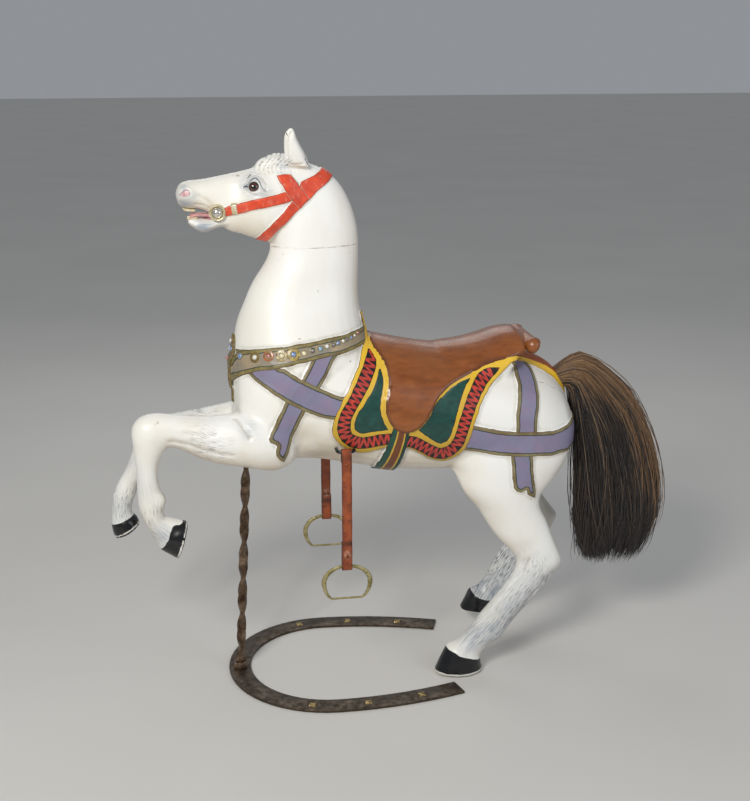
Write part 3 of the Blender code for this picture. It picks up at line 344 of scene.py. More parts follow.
# Hooves: side, outline of the black, sole line, start and end of the pale stripe above the sole
HOOF_ZONES = [
    (NEAR, [(-205, 366), (-185, 378), (-176, 389), (-165, 407), (-160, 423), (-154, 436), (-149, 439),
            (-139, 437), (-132, 439), (-127, 446), (-95, 452), (-95, 335), (-150, 325)],
     ((-144, 347), (-117, 434)), 2.5, 6.5),
    (FAR, [(-318, 378), (-300, 380), (-290, 384), (-278, 389), (-264, 395), (-256, 398), (-249, 400),
           (-238, 402), (-210, 400), (-210, 335), (-290, 320), (-325, 350)],
     ((-294, 341), (-232, 374)), 5.5, 9.5),
    (NEAR, [(490, 76), (512, 67), (525, 62), (536, 55), (549, 51), (562, 47), (582, 39), (604, 32), (640, 26),
            (640, -20), (440, -20), (440, 70)],
     ((478, 3), (603, 3)), -1.0, 7.0),
    (FAR, [(612, 112), (635, 101), (640, 95), (650, 88), (665, 84), (690, 78), (714, 70), (750, 62), (750, 30),
           (590, 30), (580, 84)],
     ((605, 47), (728, 46)), -1.0, 3.2),
]

# Glue joints that have opened a little
CRACKS = [
    [(724, 744), (747, 736), (776, 719), (801, 702)],
    [(300, 1078), (283, 1076), (255, 1077), (207, 1075), (162, 1073), (131, 1072), (127, 1064), (118, 1050),
     (104, 1036)],
]

# Where grey-blue shading lies on the white paint: x, z, radius, strength
GREY_SHADING = [
    (-98, 1184, 17, 0.9), (-82, 1182, 14, 0.6), (-94, 1213, 9, 0.6), (-74, 1200, 9, 0.4),
    (-40, 1122, 22, 0.7), (-62, 1130, 16, 0.8), (63, 1214, 25, 0.85), (40, 1214, 14, 0.6),
    (90, 1206, 15, 0.6), (28, 668, 20, 0.6), (-225, 520, 40, 0.3), (-180, 415, 36, 0.7), (-270, 420, 46, 0.5),
    (-262, 560, 50, 0.35), (-120, 630, 40, 0.2), (700, 220, 70, 0.35), (640, 150, 60, 0.4),
    (590, 100, 46, 0.7), (555, 78, 24, 0.5), (780, 130, 100, 0.6), (800, 230, 70, 0.45), (130, 1262, 18, 0.5),
    (690, 90, 60, 0.6),
]

# Where dark hair strokes are brushed on the legs: x, z, radius, strength
HAIR_STROKES = [
    (-182, 486, 20, 0.9), (-205, 440, 24, 0.6), (-180, 405, 22, 0.7), (-232, 470, 18, 0.6),
    (-275, 405, 30, 0.9), (-245, 455, 20, 0.8), (-285, 450, 26, 0.5), (700, 190, 50, 0.7),
    (650, 130, 40, 0.8), (585, 95, 30, 0.6), (740, 260, 40, 0.5), (712, 300, 30, 0.4), (-80, 645, 45, 0.5),
    (-50, 612, 40, 0.5), (770, 190, 55, 0.7), (640, 90, 30, 0.7), (730, 150, 50, 0.9), (690, 110, 34, 0.9),
]
HAIR_GREY = [(78, 1262, 16, 1.0), (96, 1270, 20, 1.0), (120, 1272, 22, 0.9), (140, 1262, 16, 0.7)]

# Dark strokes of the face, one of them a painted shadow under the upper lip: half width, then the points of the
# line, in mm
FACE_STROKES = [
    (0.7, [(-82, 1207), (-79, 1202), (-81, 1197)]),
    (1.3, [(38, 1215), (44, 1216), (50, 1213)]), (0.9, [(76, 1211), (83, 1206), (90, 1204)]),
    (0.35, [(48, 1233), (56, 1240), (66, 1243), (76, 1240)]),
    # Painted shadow along the mouth, under the overhang of the upper lip
    (0.9, [(-72, 1164), (-58, 1162), (-46, 1157), (-38, 1152)]),
    (0.8, [(178, 1276), (181, 1269), (184, 1262)]), (0.9, [(136, 1333), (138, 1328)]),
]

# Glass jewels of the near breast strap, front to back: x, z, radius in mm, colour
JEWELS = [
    (18, 829, 7.5, "blue"), (49, 833, 6.0, "white"), (79, 839, 6.5, "amber"), (108, 841, 6.0, "cream"),
    (135, 844, 6.5, "blue"), (159, 846, 5.5, "cream"), (179, 851, 6.0, "garnet"), (197, 854, 5.5, "sky"),
    (213, 858, 5.2, "white"), (228, 860, 5.6, "garnet"), (240, 862, 5.2, "blue"), (253, 865, 4.5, "white"),
    (263, 867, 4.5, "navy"), (274, 869, 4.5, "blue"), (283, 872, 4.0, "white"), (292, 876, 4.5, "red"),
]
JEWEL_DISCS = [(49, 833, 13, "disc_gold"), (79, 839, 13, "disc_orange"), (108, 841, 14, "disc_cream"),
               (135, 844, 15, "disc_yellow")]


# Making meshes

def flow(rows, steps):
    """Catmull-Rom curve through rows of numbers, with steps points a span."""
    points = np.array(rows, float)
    padded = np.vstack([2 * points[0] - points[1], points, 2 * points[-1] - points[-2]])
    out = []
    for i in range(1, len(padded) - 2):
        p0, p1, p2, p3 = padded[i - 1:i + 3]
        for step in range(steps):
            t = step / steps
            out.append(0.5 * (2 * p1 + (p2 - p0) * t + (2 * p0 - 5 * p1 + 4 * p2 - p3) * t * t
                              + (3 * p1 - p0 - 3 * p2 + p3) * t ** 3))
    out.append(points[-1])
    return np.array(out)


def sweep(bm, matrices, sides, capped=True):
    """Tube through a row of circles: the first is extruded onto each of the others."""
    ring = bmesh.ops.create_circle(bm, segments=sides, radius=1.0, matrix=matrices[0])["verts"]
    edges = list(dict.fromkeys(edge for vert in ring for edge in vert.link_edges))
    if capped:
        bmesh.ops.contextual_create(bm, geom=edges)
    for before, after in zip(matrices[:-1], matrices[1:]):
        grown = bmesh.ops.extrude_edge_only(bm, edges=edges)["geom"]
        verts = [item for item in grown if isinstance(item, bmesh.types.BMVert)]
        fresh = set(verts)
        edges = [item for item in grown if isinstance(item, bmesh.types.BMEdge) and set(item.verts) <= fresh]
        bmesh.ops.transform(bm, matrix=after @ before.inverted(), verts=verts)
    if capped:
        bmesh.ops.contextual_create(bm, geom=edges)


def basis(along_x, along_y, along_z, origin):
    """Matrix from its three axes and its origin."""
    matrix = Matrix.Identity(4)
    for column, axis in enumerate((along_x, along_y, along_z, origin)):
        matrix.col[column][:3] = axis
    return matrix


def ring_matrix(ring):
    """Matrix of one ring of the figure, in metres."""
    upper_x, upper_z, lower_x, lower_z, half_width = ring[:5]
    middle_y = ring[5] if len(ring) > 5 else 0.0
    across = Vector((upper_x - lower_x, 0, upper_z - lower_z)) * 0.5 * MM
    along = Vector((-across.z, 0, across.x)).normalized()
    centre = Vector((upper_x + lower_x, 2 * middle_y, upper_z + lower_z)) * 0.5 * MM
    return basis(across, Vector((0, half_width * MM, 0)), along, centre)


def loft(bm, rings, steps=3, sides=32):
    """One limb of the figure through its rings."""
    sweep(bm, [ring_matrix(ring) for ring in flow(rings, steps)], sides)


def finished(name, bm, material, replaced=(), angle=None):
    """A piece of the part: named, painted, riding on the root body."""
    bmesh.ops.recalc_face_normals(bm, faces=bm.faces[:])
    if bm.calc_volume(signed=True) < 0:
        bmesh.ops.reverse_faces(bm, faces=bm.faces[:])
    mesh = bpy.data.meshes.new(name)
    bm.to_mesh(mesh)
    bm.free()
    piece = bpy.data.objects.new(name, mesh)
    bpy.context.scene.collection.objects.link(piece)
    return dress(piece, material, replaced, angle)


def dress(piece, material, replaced=(), angle=None):
    """Give a piece its material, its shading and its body."""
    piece.data.materials.clear()
    piece.data.materials.append(material)
    piece.data.polygons.foreach_set("use_smooth", [True] * len(piece.data.polygons))
    if angle:
        piece.data.set_sharp_from_angle(angle=math.radians(angle))
    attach(piece, "root")
    if replaced:
        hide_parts(*replaced)
    return piece


def settle(piece):
    """Apply a piece's modifiers to its mesh."""
    bpy.context.view_layer.update()
    seen = piece.evaluated_get(bpy.context.evaluated_depsgraph_get())
    mesh = bpy.data.meshes.new_from_object(seen)
    piece.modifiers.clear()
    piece.data = mesh


def tubes(name, lines, material, sides=12, replaced=(), readings=None):
    """Round rods through lines of (point, radius), as one mesh piece; readings hold a number for each point."""
    curve = bpy.data.curves.new(name, "CURVE")
    curve.dimensions = "3D"
    curve.bevel_depth = 1.0
    curve.bevel_resolution = max(0, sides // 4 - 1)
    for line in lines:
        spline = curve.splines.new("POLY")
        spline.points.add(len(line) - 1)
        for spot, (point, radius) in zip(spline.points, line):
            spot.co = (*point, 1.0)
            spot.radius = radius
    shape = bpy.data.objects.new(name + "_line", curve)
    bpy.context.scene.collection.objects.link(shape)
    bpy.context.view_layer.update()
    seen = shape.evaluated_get(bpy.context.evaluated_depsgraph_get())
    mesh = bpy.data.meshes.new_from_object(seen)
    bpy.data.objects.remove(shape)
    for label, values in (readings or {}).items():
        note(mesh, label, np.repeat(values, sides))
    bm = bmesh.new()
    bm.from_mesh(mesh)
    bmesh.ops.holes_fill(bm, edges=bm.edges[:], sides=0)
    bmesh.ops.recalc_face_normals(bm, faces=bm.faces[:])
    bm.to_mesh(mesh)
    bm.free()
    piece = bpy.data.objects.new(name, mesh)
    bpy.context.scene.collection.objects.link(piece)
    return dress(piece, material, replaced)


def bevelled(piece, width, segments=3, angle=40):
    """Round a piece's edges."""
    edge = piece.modifiers.new("edges", "BEVEL")
    edge.width = width
    edge.segments = segments
    edge.limit_method = "ANGLE"
    edge.angle_limit = math.radians(angle)
    return piece


def from_cad(node, name, material, width):
    """A CAD node's own shape with rounded edges, standing for it."""
    bm = bmesh.new()
    bm.from_mesh(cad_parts[node].data)
    bmesh.ops.remove_doubles(bm, verts=bm.verts[:], dist=1e-6)
    bmesh.ops.dissolve_limit(bm, angle_limit=0.01, verts=bm.verts[:], edges=bm.edges[:])
    return bevelled(finished(name, bm, material, (node,)), width)


# Side-view measures of the carving

def line_distance(points, line, closed=False):
    """Distance in mm of side-view points to a line, and how far along the line the nearest place is."""
    line = np.array(line, float)
    if closed:
        line = np.vstack([line, line[:1]])
    nearest = np.full(len(points), 1e9)
    along = np.zeros(len(points))
    run = 0.0
    for start, end in zip(line[:-1], line[1:]):
        step = end - start
        length = math.hypot(*step)
        share = np.clip(((points - start) @ step) / length ** 2, 0, 1)
        gap = np.hypot(*(points - start - share[:, None] * step).T)
        closer = gap < nearest
        nearest[closer] = gap[closer]
        along[closer] = run + share[closer] * length
        run += length
    return nearest, along


def inside(points, outline):
    """Signed distance in mm of side-view points to a closed outline, positive inside, and the run along it."""
    gap, run = line_distance(points, outline, closed=True)
    closed = np.array(list(outline) + [outline[0]], float)
    crossings = np.zeros(len(points), int)
    for (x0, z0), (x1, z1) in zip(closed[:-1], closed[1:]):
        spans = (z0 > points[:, 1]) != (z1 > points[:, 1])
        at = x0 + (points[:, 1] - z0) * (x1 - x0) / (z1 - z0 + 1e-12)
        crossings += spans & (points[:, 0] < at)
    return np.where(crossings % 2 == 1, gap, -gap), run


def step_up(distance, width):
    """Smooth step from 0 to 1 over a width on each side of the edge."""
    t = np.clip(distance / (2 * width) + 0.5, 0, 1)
    return t * t * (3 - 2 * t)


def spots(points, rows):
    """Sum of soft round spots: x, z, radius, height."""
    total = np.zeros(len(points))
    for x, z, radius, height in rows:
        total += height * np.exp(-((points - (x, z)) ** 2).sum(1) / radius ** 2)
    return total


def mesh_arrays(mesh):
    """Positions and normals of a mesh's points."""
    co = np.empty(len(mesh.vertices) * 3, np.float32)
    mesh.vertices.foreach_get("co", co)
    normal = np.empty(len(mesh.vertices) * 3, np.float32)
    mesh.vertex_normals.foreach_get("vector", normal)
    return co.reshape(-1, 3).astype(float), normal.reshape(-1, 3).astype(float)


def note(mesh, name, values):
    """Keep one number for each point of a mesh, for its paint."""
    mesh.attributes.new(name, "FLOAT", "POINT").data.foreach_set("value", values.astype(np.float32))


def hollows(mesh, co, normal, passes):
    """How hollow (above 0) or proud (below 0) each point lies, as the mean over its neighbourhood."""
    ends = np.empty(len(mesh.edges) * 2, np.int32)
    mesh.edges.foreach_get("vertices", ends)
    first, second = ends.reshape(-1, 2).T
    count = len(co)
    degree = np.bincount(first, minlength=count) + np.bincount(second, minlength=count)

    def around(values):
        total = np.bincount(first, values[second], count) + np.bincount(second, values[first], count)
        return total / np.maximum(degree, 1)

    mean = np.stack([around(co[:, axis]) for axis in range(3)], 1)
    hollow = ((mean - co) * normal).sum(1) / MM
    for _ in range(passes):
        hollow = 0.5 * hollow + 0.5 * around(hollow)
    return hollow


# Colour

def srgb(code):
    """Linear colour of an sRGB hex value."""
    parts = [int(code[i:i + 2], 16) / 255 for i in (1, 3, 5)]
    return (*(p / 12.92 if p <= 0.04045 else ((p + 0.055) / 1.055) ** 2.4 for p in parts), 1.0)


def wire(tree, node, sockets):
    """Set each socket of a node to a number or a colour, or link it to another node's output."""
    for key, value in sockets.items():
        if isinstance(value, bpy.types.NodeSocket):
            tree.links.new(value, node.inputs[key])
        else:
            node.inputs[key].default_value = value


def add(tree, kind, sockets, output=0, **settings):
    """Add a shader node with its settings and links, and return one of its outputs."""
    node = tree.nodes.new("ShaderNode" + kind)
    for key, value in settings.items():
        setattr(node, key, value)
    wire(tree, node, sockets)
    return node.outputs[output]


def new_material(name, roughness=0.5, metallic=0.0, ior=1.5, coat=0.0):
    """A Principled material; returns it with its node tree and shader."""
    material = bpy.data.materials.new(name)
    material.use_nodes = True
    shader = material.node_tree.nodes["Principled BSDF"]
    wire(material.node_tree, shader, {"Roughness": roughness, "Metallic": metallic, "IOR": ior,
                                      "Coat Weight": coat})
    return material, material.node_tree, shader


def layered(tree, ground, *layers):
    """A ground colour with layers over it; each is how much of it shows, and its colour."""
    colour = srgb(ground) if isinstance(ground, str) else ground
    for share, over in layers:
        top = srgb(over) if isinstance(over, str) else over
        colour = add(tree, "Mix", {0: share, 6: colour, 7: top}, 2, data_type="RGBA")
    return colour


def speckle(tree, size_mm, detail=3.0, stretch=(1, 1, 1), low=0.35, high=0.65, weak=0.0, strong=1.0):
    """Noise with blotches of about a size in mm: weak where it is under one level, strong above the other."""
    place = add(tree, "TexCoord", {}, "Object")
    if stretch != (1, 1, 1):
        place = add(tree, "Mapping", {"Vector": place, "Scale": stretch})
    noise = add(tree, "TexNoise", {"Vector": place, "Scale": 1000.0 / size_mm, "Detail": detail})
    return add(tree, "MapRange", {"Value": noise, "From Min": low, "From Max": high, "To Min": weak,
                                  "To Max": strong})


def brushed(tree, width_mm, length_mm, low, high, weak, strong):
    """Brush strokes of a width and length in mm that follow the limb they are on."""
    across, along = (add(tree, "Attribute", {}, "Fac", attribute_name=name)
                     for name in ("across", "along"))
    place = add(tree, "CombineXYZ", {"X": across, "Y": along})
    place = add(tree, "Mapping", {"Vector": place, "Scale": (1 / width_mm, 1 / length_mm, 1)})
    noise = add(tree, "TexNoise", {"Vector": place, "Scale": 1.0, "Detail": 2.5})
    return add(tree, "MapRange", {"Value": noise, "From Min": low, "From Max": high, "To Min": weak,
                                  "To Max": strong})


def stripes(tree, reading, span, stops):
    """Stripes of colour over a reading from 0 to a span, each from its stop on."""
    share = add(tree, "Math", {0: reading, 1: span}, operation="DIVIDE")
    colour = add(tree, "ValToRGB", {"Fac": share})
    ramp = colour.node.color_ramp
    ramp.interpolation = "CONSTANT"
    ramp.elements.remove(ramp.elements[-1])
    for i, (start, code) in enumerate(stops):
        stop = ramp.elements[0] if i == 0 else ramp.elements.new(start / span)
        stop.position, stop.color = start / span, srgb(code)
    return colour


def cream_ground(tree):
    """Aged cream-white gloss paint on wood: beige where it has yellowed, a beige painted shade where the
    surface faces down or back, grey-blue shading, a grey-beige painted shade in the recesses, brushed hair
    strokes along the legs, small brown stains and glue joints that have opened."""
    warm, grey, strokes, hollow, crack = (add(tree, "Attribute", {}, "Fac", attribute_name=name)
                                          for name in ("warm", "grey", "strokes", "hollow", "crack"))
    # The first share is a beige painted shade where the surface faces down or back, broken up by noise
    shares = [add(tree, "Math", {0: reading, 1: broken}, operation="MULTIPLY") for reading, broken in (
        (warm, speckle(tree, 40, 4.0, weak=0.45, strong=0.85)),
        (grey, brushed(tree, 7.0, 60.0, 0.35, 0.65, 0.4, 1.0)),
        (strokes, brushed(tree, 2.6, 22.0, 0.50, 0.62, 0.0, 0.85)),
        (add(tree, "MapRange", {"Value": crack, "From Min": 0.9, "From Max": 0.2}),
         speckle(tree, 12, 2.0, weak=0.3, strong=0.8)))]
    beige_shade, shaded, stroked, opened = shares
    # Grey-beige painted shade in the recesses, by how hollow the surface lies
    recess_shade = add(tree, "MapRange", {"Value": hollow, "From Min": 0.05, "From Max": 0.34, "To Max": 0.55})
    glaze = speckle(tree, 60, 4.0, (1.0, 1.0, 0.3), 0.48, 0.8, strong=0.32)
    stain = speckle(tree, 26, 2.0, low=0.745, high=0.78, strong=0.5)
    return layered(tree, "#F6F6F1", (speckle(tree, 260, 2.0), "#EEEBE0"), (glaze, "#E2D6BC"),
                   (beige_shade, "#CDAF86"), (shaded, "#9AA3AF"), (stroked, "#4A505C"), (recess_shade, "#958D7C"),
                   (stain, "#8A6A4A"), (opened, "#5A5042"))


PAINT_SPAN = 60.0


def painted_layers(name, layers):
    """The carving's paint: the cream ground, then each layer where its reading, the distance in mm inside its
    edge, is above 0. A layer has its reading, its paint, how dark it fades and its roughness."""
    material, tree, shader = new_material(name, coat=0.14)
    colour, gloss = cream_ground(tree), 0.36
    wobble = speckle(tree, 18, 2.0, weak=-0.6, strong=0.6)
    faded = speckle(tree, 45, 5.0, strong=0.7)
    for attribute, paint, dark, rough in layers:
        depth = add(tree, "Attribute", {}, "Fac", attribute_name=attribute)
        inner = add(tree, "Math", {0: depth, 1: wobble}, operation="ADD")
        fresh = paint(tree, inner) if callable(paint) else stripes(tree, inner, PAINT_SPAN, paint)
        dull = add(tree, "HueSaturation", {"Color": fresh, "Value": dark, "Saturation": 0.96})
        shown = add(tree, "Math", {0: inner, 1: 0.0}, operation="GREATER_THAN")
        colour = layered(tree, colour, (shown, layered(tree, fresh, (faded, dull))))
        gloss = add(tree, "Mix", {0: shown, 2: gloss, 3: rough})
    brush, smears = speckle(tree, 9, 5.0, (0.5, 1.0, 1.0)), speckle(tree, 30, 6.0)
    wire(tree, shader, {
        "Base Color": colour, "Coat Roughness": 0.22,
        "Roughness": add(tree, "Math", {0: smears, 1: 0.12, 2: gloss}, operation="MULTIPLY_ADD"),
        "Normal": add(tree, "Bump", {"Height": brush, "Strength": 0.12, "Distance": 0.6 * MM}),
    })
    return material


def bordered(tree, inner, border, line, middle, rim):
    """A strap's paint: its border, then a line and the middle from their distances inwards in mm, and a rim up
    to its distance, where a painted shadow line runs along the raised edge."""
    lined, filled = (add(tree, "Math", {0: inner, 1: start}, operation="GREATER_THAN")
                     for start in (line[0], middle[0]))
    rimmed = add(tree, "Math", {0: inner, 1: rim[0]}, operation="LESS_THAN")
    return layered(tree, border, (lined, line[1]), (filled, middle[1]), (rimmed, rim[1]))


def yellow_lit_above(tree, inner):
    """Yellow enamel with painted light: bright above, and a dull ochre painted shade low down."""
    height = add(tree, "SeparateXYZ", {0: add(tree, "TexCoord", {}, "Object")}, "Z")
    # Painted light and shade: the yellow grows brighter with height
    level = add(tree, "MapRange", {"Value": height, "From Min": 0.58, "From Max": 0.84})
    return layered(tree, "#C19A2C", (level, "#F4C62C"))


def blanket_cloth(tree, inner):
    """Blanket's ground: yellow with a dark line at its very edge, a painted shadow line along the raised edge.
    """
    # Painted shadow line along the blanket's raised edge
    rimmed = add(tree, "Math", {0: inner, 1: 1.3}, operation="LESS_THAN")
    return layered(tree, yellow_lit_above(tree, inner), (rimmed, "#5E4A1C"))


def zigzag_band(tree, inner):
    """Black band with a thick red zigzag painted across it: red where the share of the way across the band is
    near the height of the wave."""
    run, share = (add(tree, "Attribute", {}, "Fac", attribute_name=name)
                  for name in ("run", "share"))
    wave = add(tree, "Math", {0: run, 1: 0.5}, operation="PINGPONG")
    tall = add(tree, "Math", {0: wave, 1: 2.0}, operation="MULTIPLY")
    level = add(tree, "Math", {0: share, 1: 1.15, 2: -0.075}, operation="MULTIPLY_ADD")
    red = add(tree, "Math", {0: tall, 1: level, 2: 0.38}, operation="COMPARE")
    rimmed = add(tree, "Math", {0: inner, 1: 1.6}, operation="LESS_THAN")
    tone = layered(tree, "#D0402E", (speckle(tree, 10), "#A62C22"))
    return layered(tree, "#15110F", (red, tone), (rimmed, "#15110F"))


def green_panel(tree, inner):
    """Dark blue-green panel in two brushed tones, with a darker edge that is painted shade along the sunk
    panel's rim.
    """
    # Painted shade along the rim of the sunk panel
    rimmed = add(tree, "Math", {0: inner, 1: 2.0}, operation="LESS_THAN")
    return layered(tree, "#0E4C41", (speckle(tree, 14, 4.0), "#0B3A33"), (rimmed, "#0A2A24"))


def girth_webbing(tree, inner):
    """Girth: green, a yellow line, brown, a yellow line and dark green, from front to back."""
    webbing = stripes(tree, add(tree, "Attribute", {}, "Fac", attribute_name="width"), 1.0, [
        (0.0, "#0E2E26"), (0.04, "#135040"), (0.30, "#DDB038"), (0.39, "#7A431C"), (0.72, "#DDB038"),
        (0.80, "#123F33"), (0.96, "#0C2620")])
    return layered(tree, webbing, (speckle(tree, 8, 3.0, (1.0, 1.0, 0.3), strong=0.25), "#2A1C10"))


def red_bridle(tree, inner):
    """Bridle strap in orange-red enamel: brush streaks, wear down to pink in places, a dark line along a pale
    rim."""
    lined, rimmed = (add(tree, "Math", {0: inner, 1: width}, operation="LESS_THAN") for width in (1.5, 0.6))
    wear = speckle(tree, 7, 5.0, (1.0, 1.0, 0.4), 0.56, 0.72, strong=0.5)
    return layered(tree, "#EA5028", (speckle(tree, 16, 4.0), "#D0401F"), (wear, "#E79A82"), (lined, "#8E3018"),
                   (rimmed, "#E0B49C"))


def nostril_pink(tree, inner):
    """Nostril in soft pink, greyer at its edge."""
    depth = add(tree, "MapRange", {"Value": inner, "From Min": 0.0, "From Max": 5.0})
    return layered(tree, "#B7A6A8", (depth, "#DDA9A8"))


def jewelled_strap(tree, inner):
    """Breast strap: olive-gold border 8 mm wide, a dark green line inside it, and a warm grey-gold middle."""
    gold = layered(tree, "#948550", (speckle(tree, 18, 4.0), "#72643A"))
    middle = layered(tree, "#AC9878", (speckle(tree, 26, 4.0), "#8E8678"))
    # The dark rim at the strap's edge is a painted shadow line along its raised edge
    return bordered(tree, inner, gold, (7.8, "#2F3F30"), (9.8, middle), (1.3, "#4C4430"))


def silk_ribbon(tree, inner):
    """Ribbon: olive border 7 mm wide with a dark green line inside it, and a mauve middle."""
    olive = layered(tree, "#8D835C", (speckle(tree, 30), "#77633F"))
    mauve = layered(tree, "#85809C", (speckle(tree, 34), "#90809A"), (speckle(tree, 22, strong=0.5), "#7D8398"))
    # The dark rim at the ribbon's edge is a painted shadow line along its raised edge
    return bordered(tree, inner, olive, (7.2, "#2B3A2E"), (9.4, mauve), (1.1, "#574A30"))


def saddle_leather(tree, inner):
    """Saddle painted as brown leather: streaked, warmer in broad patches and darker at the edge."""
    edge = add(tree, "MapRange", {"Value": inner, "From Min": 0.0, "From Max": 9.0, "To Min": 0.75,
                                  "To Max": 0.0})
    return layered(tree, "#945222", (speckle(tree, 14, 5.0, (0.4, 1.0, 1.0)), "#7C431B"),
                   (speckle(tree, 120, 2.0, strong=0.5), "#9E5E2A"), (edge, "#4A2310"))


# Each layer: the reading it follows, its paint, how dark it fades, its roughness
body_paint = painted_layers("enamel_paint_on_carved_basswood", [
    ("under", silk_ribbon, 0.86, 0.42),
    ("over", silk_ribbon, 0.86, 0.42),
    ("strap", jewelled_strap, 0.86, 0.42),
    ("blanket", blanket_cloth, 0.86, 0.36),
    ("band", zigzag_band, 0.8, 0.4),
    ("green", green_panel, 0.85, 0.32),
    ("girth", girth_webbing, 0.85, 0.38),
    ("saddle", saddle_leather, 0.9, 0.23),
    ("piping", yellow_lit_above, 0.85, 0.42),
    # The crupper's darker yellow outer 1.5 mm is a painted shadow line along its raised edge
    ("crupper", [(0, "#B98A1C"), (1.5, "#F2C223"), (17, "#9A4E22")], 0.88, 0.3),
    ("hoof", [(0, "#23262B"), (2, "#0B0C0E")], 0.8, 0.2),
    ("stripe", [(0, "#D9D6CD")], 0.8, 0.4),
])
head_paint = painted_layers("enamel_paint_on_carved_head", [
    ("pink", nostril_pink, 0.9, 0.35),
    ("mouth", [(0, "#CB989C"), (4, "#B2747C")], 0.8, 0.35),
    # Dark strokes of the face, among them a painted shadow under the upper lip
    ("ink", [(0, "#4C4A50")], 0.8, 0.3),
    ("throat", red_bridle, 0.9, 0.34),
    ("cheek", red_bridle, 0.9, 0.34),
    ("brow", red_bridle, 0.9, 0.34),
])


def worn_metal(name, bright, dark, roughness, metallic, blotch_mm, dents=0.4, rust=None):
    """Metal with dark tarnish in blotches, finer flecks of rust where it has any, and a dented surface."""
    material, tree, shader = new_material(name, metallic=metallic)
    tarnish = speckle(tree, blotch_mm, 6.0)
    colour = layered(tree, bright, (tarnish, dark))
    if rust:
        flecks = speckle(tree, blotch_mm * 0.3, 5.0, low=0.5, high=0.62, strong=0.6)
        colour = layered(tree, colour, (flecks, rust))
    dent = speckle(tree, blotch_mm * 0.4, 5.0)
    wire(tree, shader, {
        "Base Color": colour,
        "Roughness": add(tree, "Math", {0: tarnish, 1: 0.25, 2: roughness - 0.1}, operation="MULTIPLY_ADD"),
        "Normal": add(tree, "Bump", {"Height": dent, "Strength": dents, "Distance": 0.5 * MM}),
    })
    return material


# Forged bar left to rust brown: warm dark metal with brighter rubbed ridges
wrought_iron = worn_metal("forged_wrought_iron", "#84705C", "#38291F", roughness=0.33, metallic=0.8,
                          blotch_mm=22, dents=0.25, rust="#523622")
# Flat rolled plate, almost black, browned in fine flecks, with a grey sheen where shoes rub it
plate_iron = worn_metal("rolled_iron_plate", "#5A5044", "#40382F", roughness=0.38, metallic=0.8,
                        blotch_mm=14, dents=0.12, rust="#54432E")
# Old brass gone olive, brighter where it is handled
aged_brass = worn_metal("tarnished_cast_brass", "#BDB184", "#8C8252", roughness=0.36, metallic=0.6,
                        blotch_mm=18, dents=0.2, rust="#6A6038")
# Brass under yellowed lacquer, paler than the rest, on the bit's rim and the strap's keeper
pale_brass = worn_metal("lacquered_pale_brass", "#F0E8CC", "#D6CAA2", roughness=0.3, metallic=0.5,
                        blotch_mm=9, dents=0.1, rust="#A8986A")
# Square nails worn bright against the dark plate
nail_steel = worn_metal("rubbed_nail_heads", "#B49C68", "#6E5C3A", roughness=0.36, metallic=0.85,
                        blotch_mm=8)
# Polished nickel of the bit bosses, slightly clouded
nickel = worn_metal("polished_nickel_plate", "#EAE8E2", "#C8C4BA", roughness=0.16, metallic=0.85,
                    blotch_mm=6, dents=0.05)
# Dark blacked iron of the hooks
hook_iron = worn_metal("blacked_iron_hook", "#4B5258", "#20242A", roughness=0.35, metallic=0.85, blotch_mm=10)
# Copper rivets gone reddish brown
copper_rivet = worn_metal("browned_copper_rivet", "#A8683E", "#5A2E1A", roughness=0.35, metallic=0.85,
                          blotch_mm=4, dents=0.2)


def strap_leather():
    """Vegetable-tanned bridle leather: orange-brown, grain 1 mm, drawn twice as coarse to show; dark sweat
    patches, darker cut edges and holes, and pale scuffs."""
    material, tree, shader = new_material("vegetable_tanned_bridle_leather", 0.45, coat=0.1)
    scuff, mark = (add(tree, "Attribute", {}, "Fac", attribute_name=name)
                   for name in ("scuff", "mark"))
    patchy = speckle(tree, 5, 4.0, high=0.6, strong=0.9)
    scuffed = add(tree, "Math", {0: scuff, 1: patchy}, operation="MULTIPLY")
    marked = add(tree, "Math", {0: mark, 1: 0.85}, operation="MULTIPLY")
    sweat = speckle(tree, 14, 4.0, low=0.58, high=0.7, strong=0.7)
    rubbed = speckle(tree, 9, 3.0, low=0.66, high=0.74, strong=0.6)
    place = add(tree, "TexCoord", {}, "Object")
    grain = add(tree, "TexVoronoi", {"Vector": place, "Scale": 1000.0 / 2.0})
    wire(tree, shader, {
        "Base Color": layered(tree, "#A04E22", (speckle(tree, 24, 5.0), "#7C3415"), (sweat, "#4A1D10"),
                              (rubbed, "#C79A80"), (scuffed, "#DAB59E"), (marked, "#2E120B")),
        "Normal": add(tree, "Bump", {"Height": grain, "Strength": 0.25, "Distance": 0.4 * MM}),
    })
    return material


def horse_hair():
    """Coarse horse hair: satin strands, tan outside and black within by the tone kept on them, a few gold."""
    material, tree, shader = new_material("coarse_horse_hair", 0.42)
    tone, pale = (add(tree, "Attribute", {}, "Fac", attribute_name=name)
                  for name in ("tone", "pale"))
    gold = add(tree, "Math", {0: pale, 1: 0.7}, operation="MULTIPLY")
    streak = speckle(tree, 9, 3.0, (1.0, 1.0, 0.15), strong=0.3)
    colour = layered(tree, "#0F0C0B", (tone, "#96714A"), (gold, "#C9AA80"), (streak, "#4A3020"))
    wire(tree, shader, {"Base Color": colour, "Sheen Weight": 0.15})
    return material


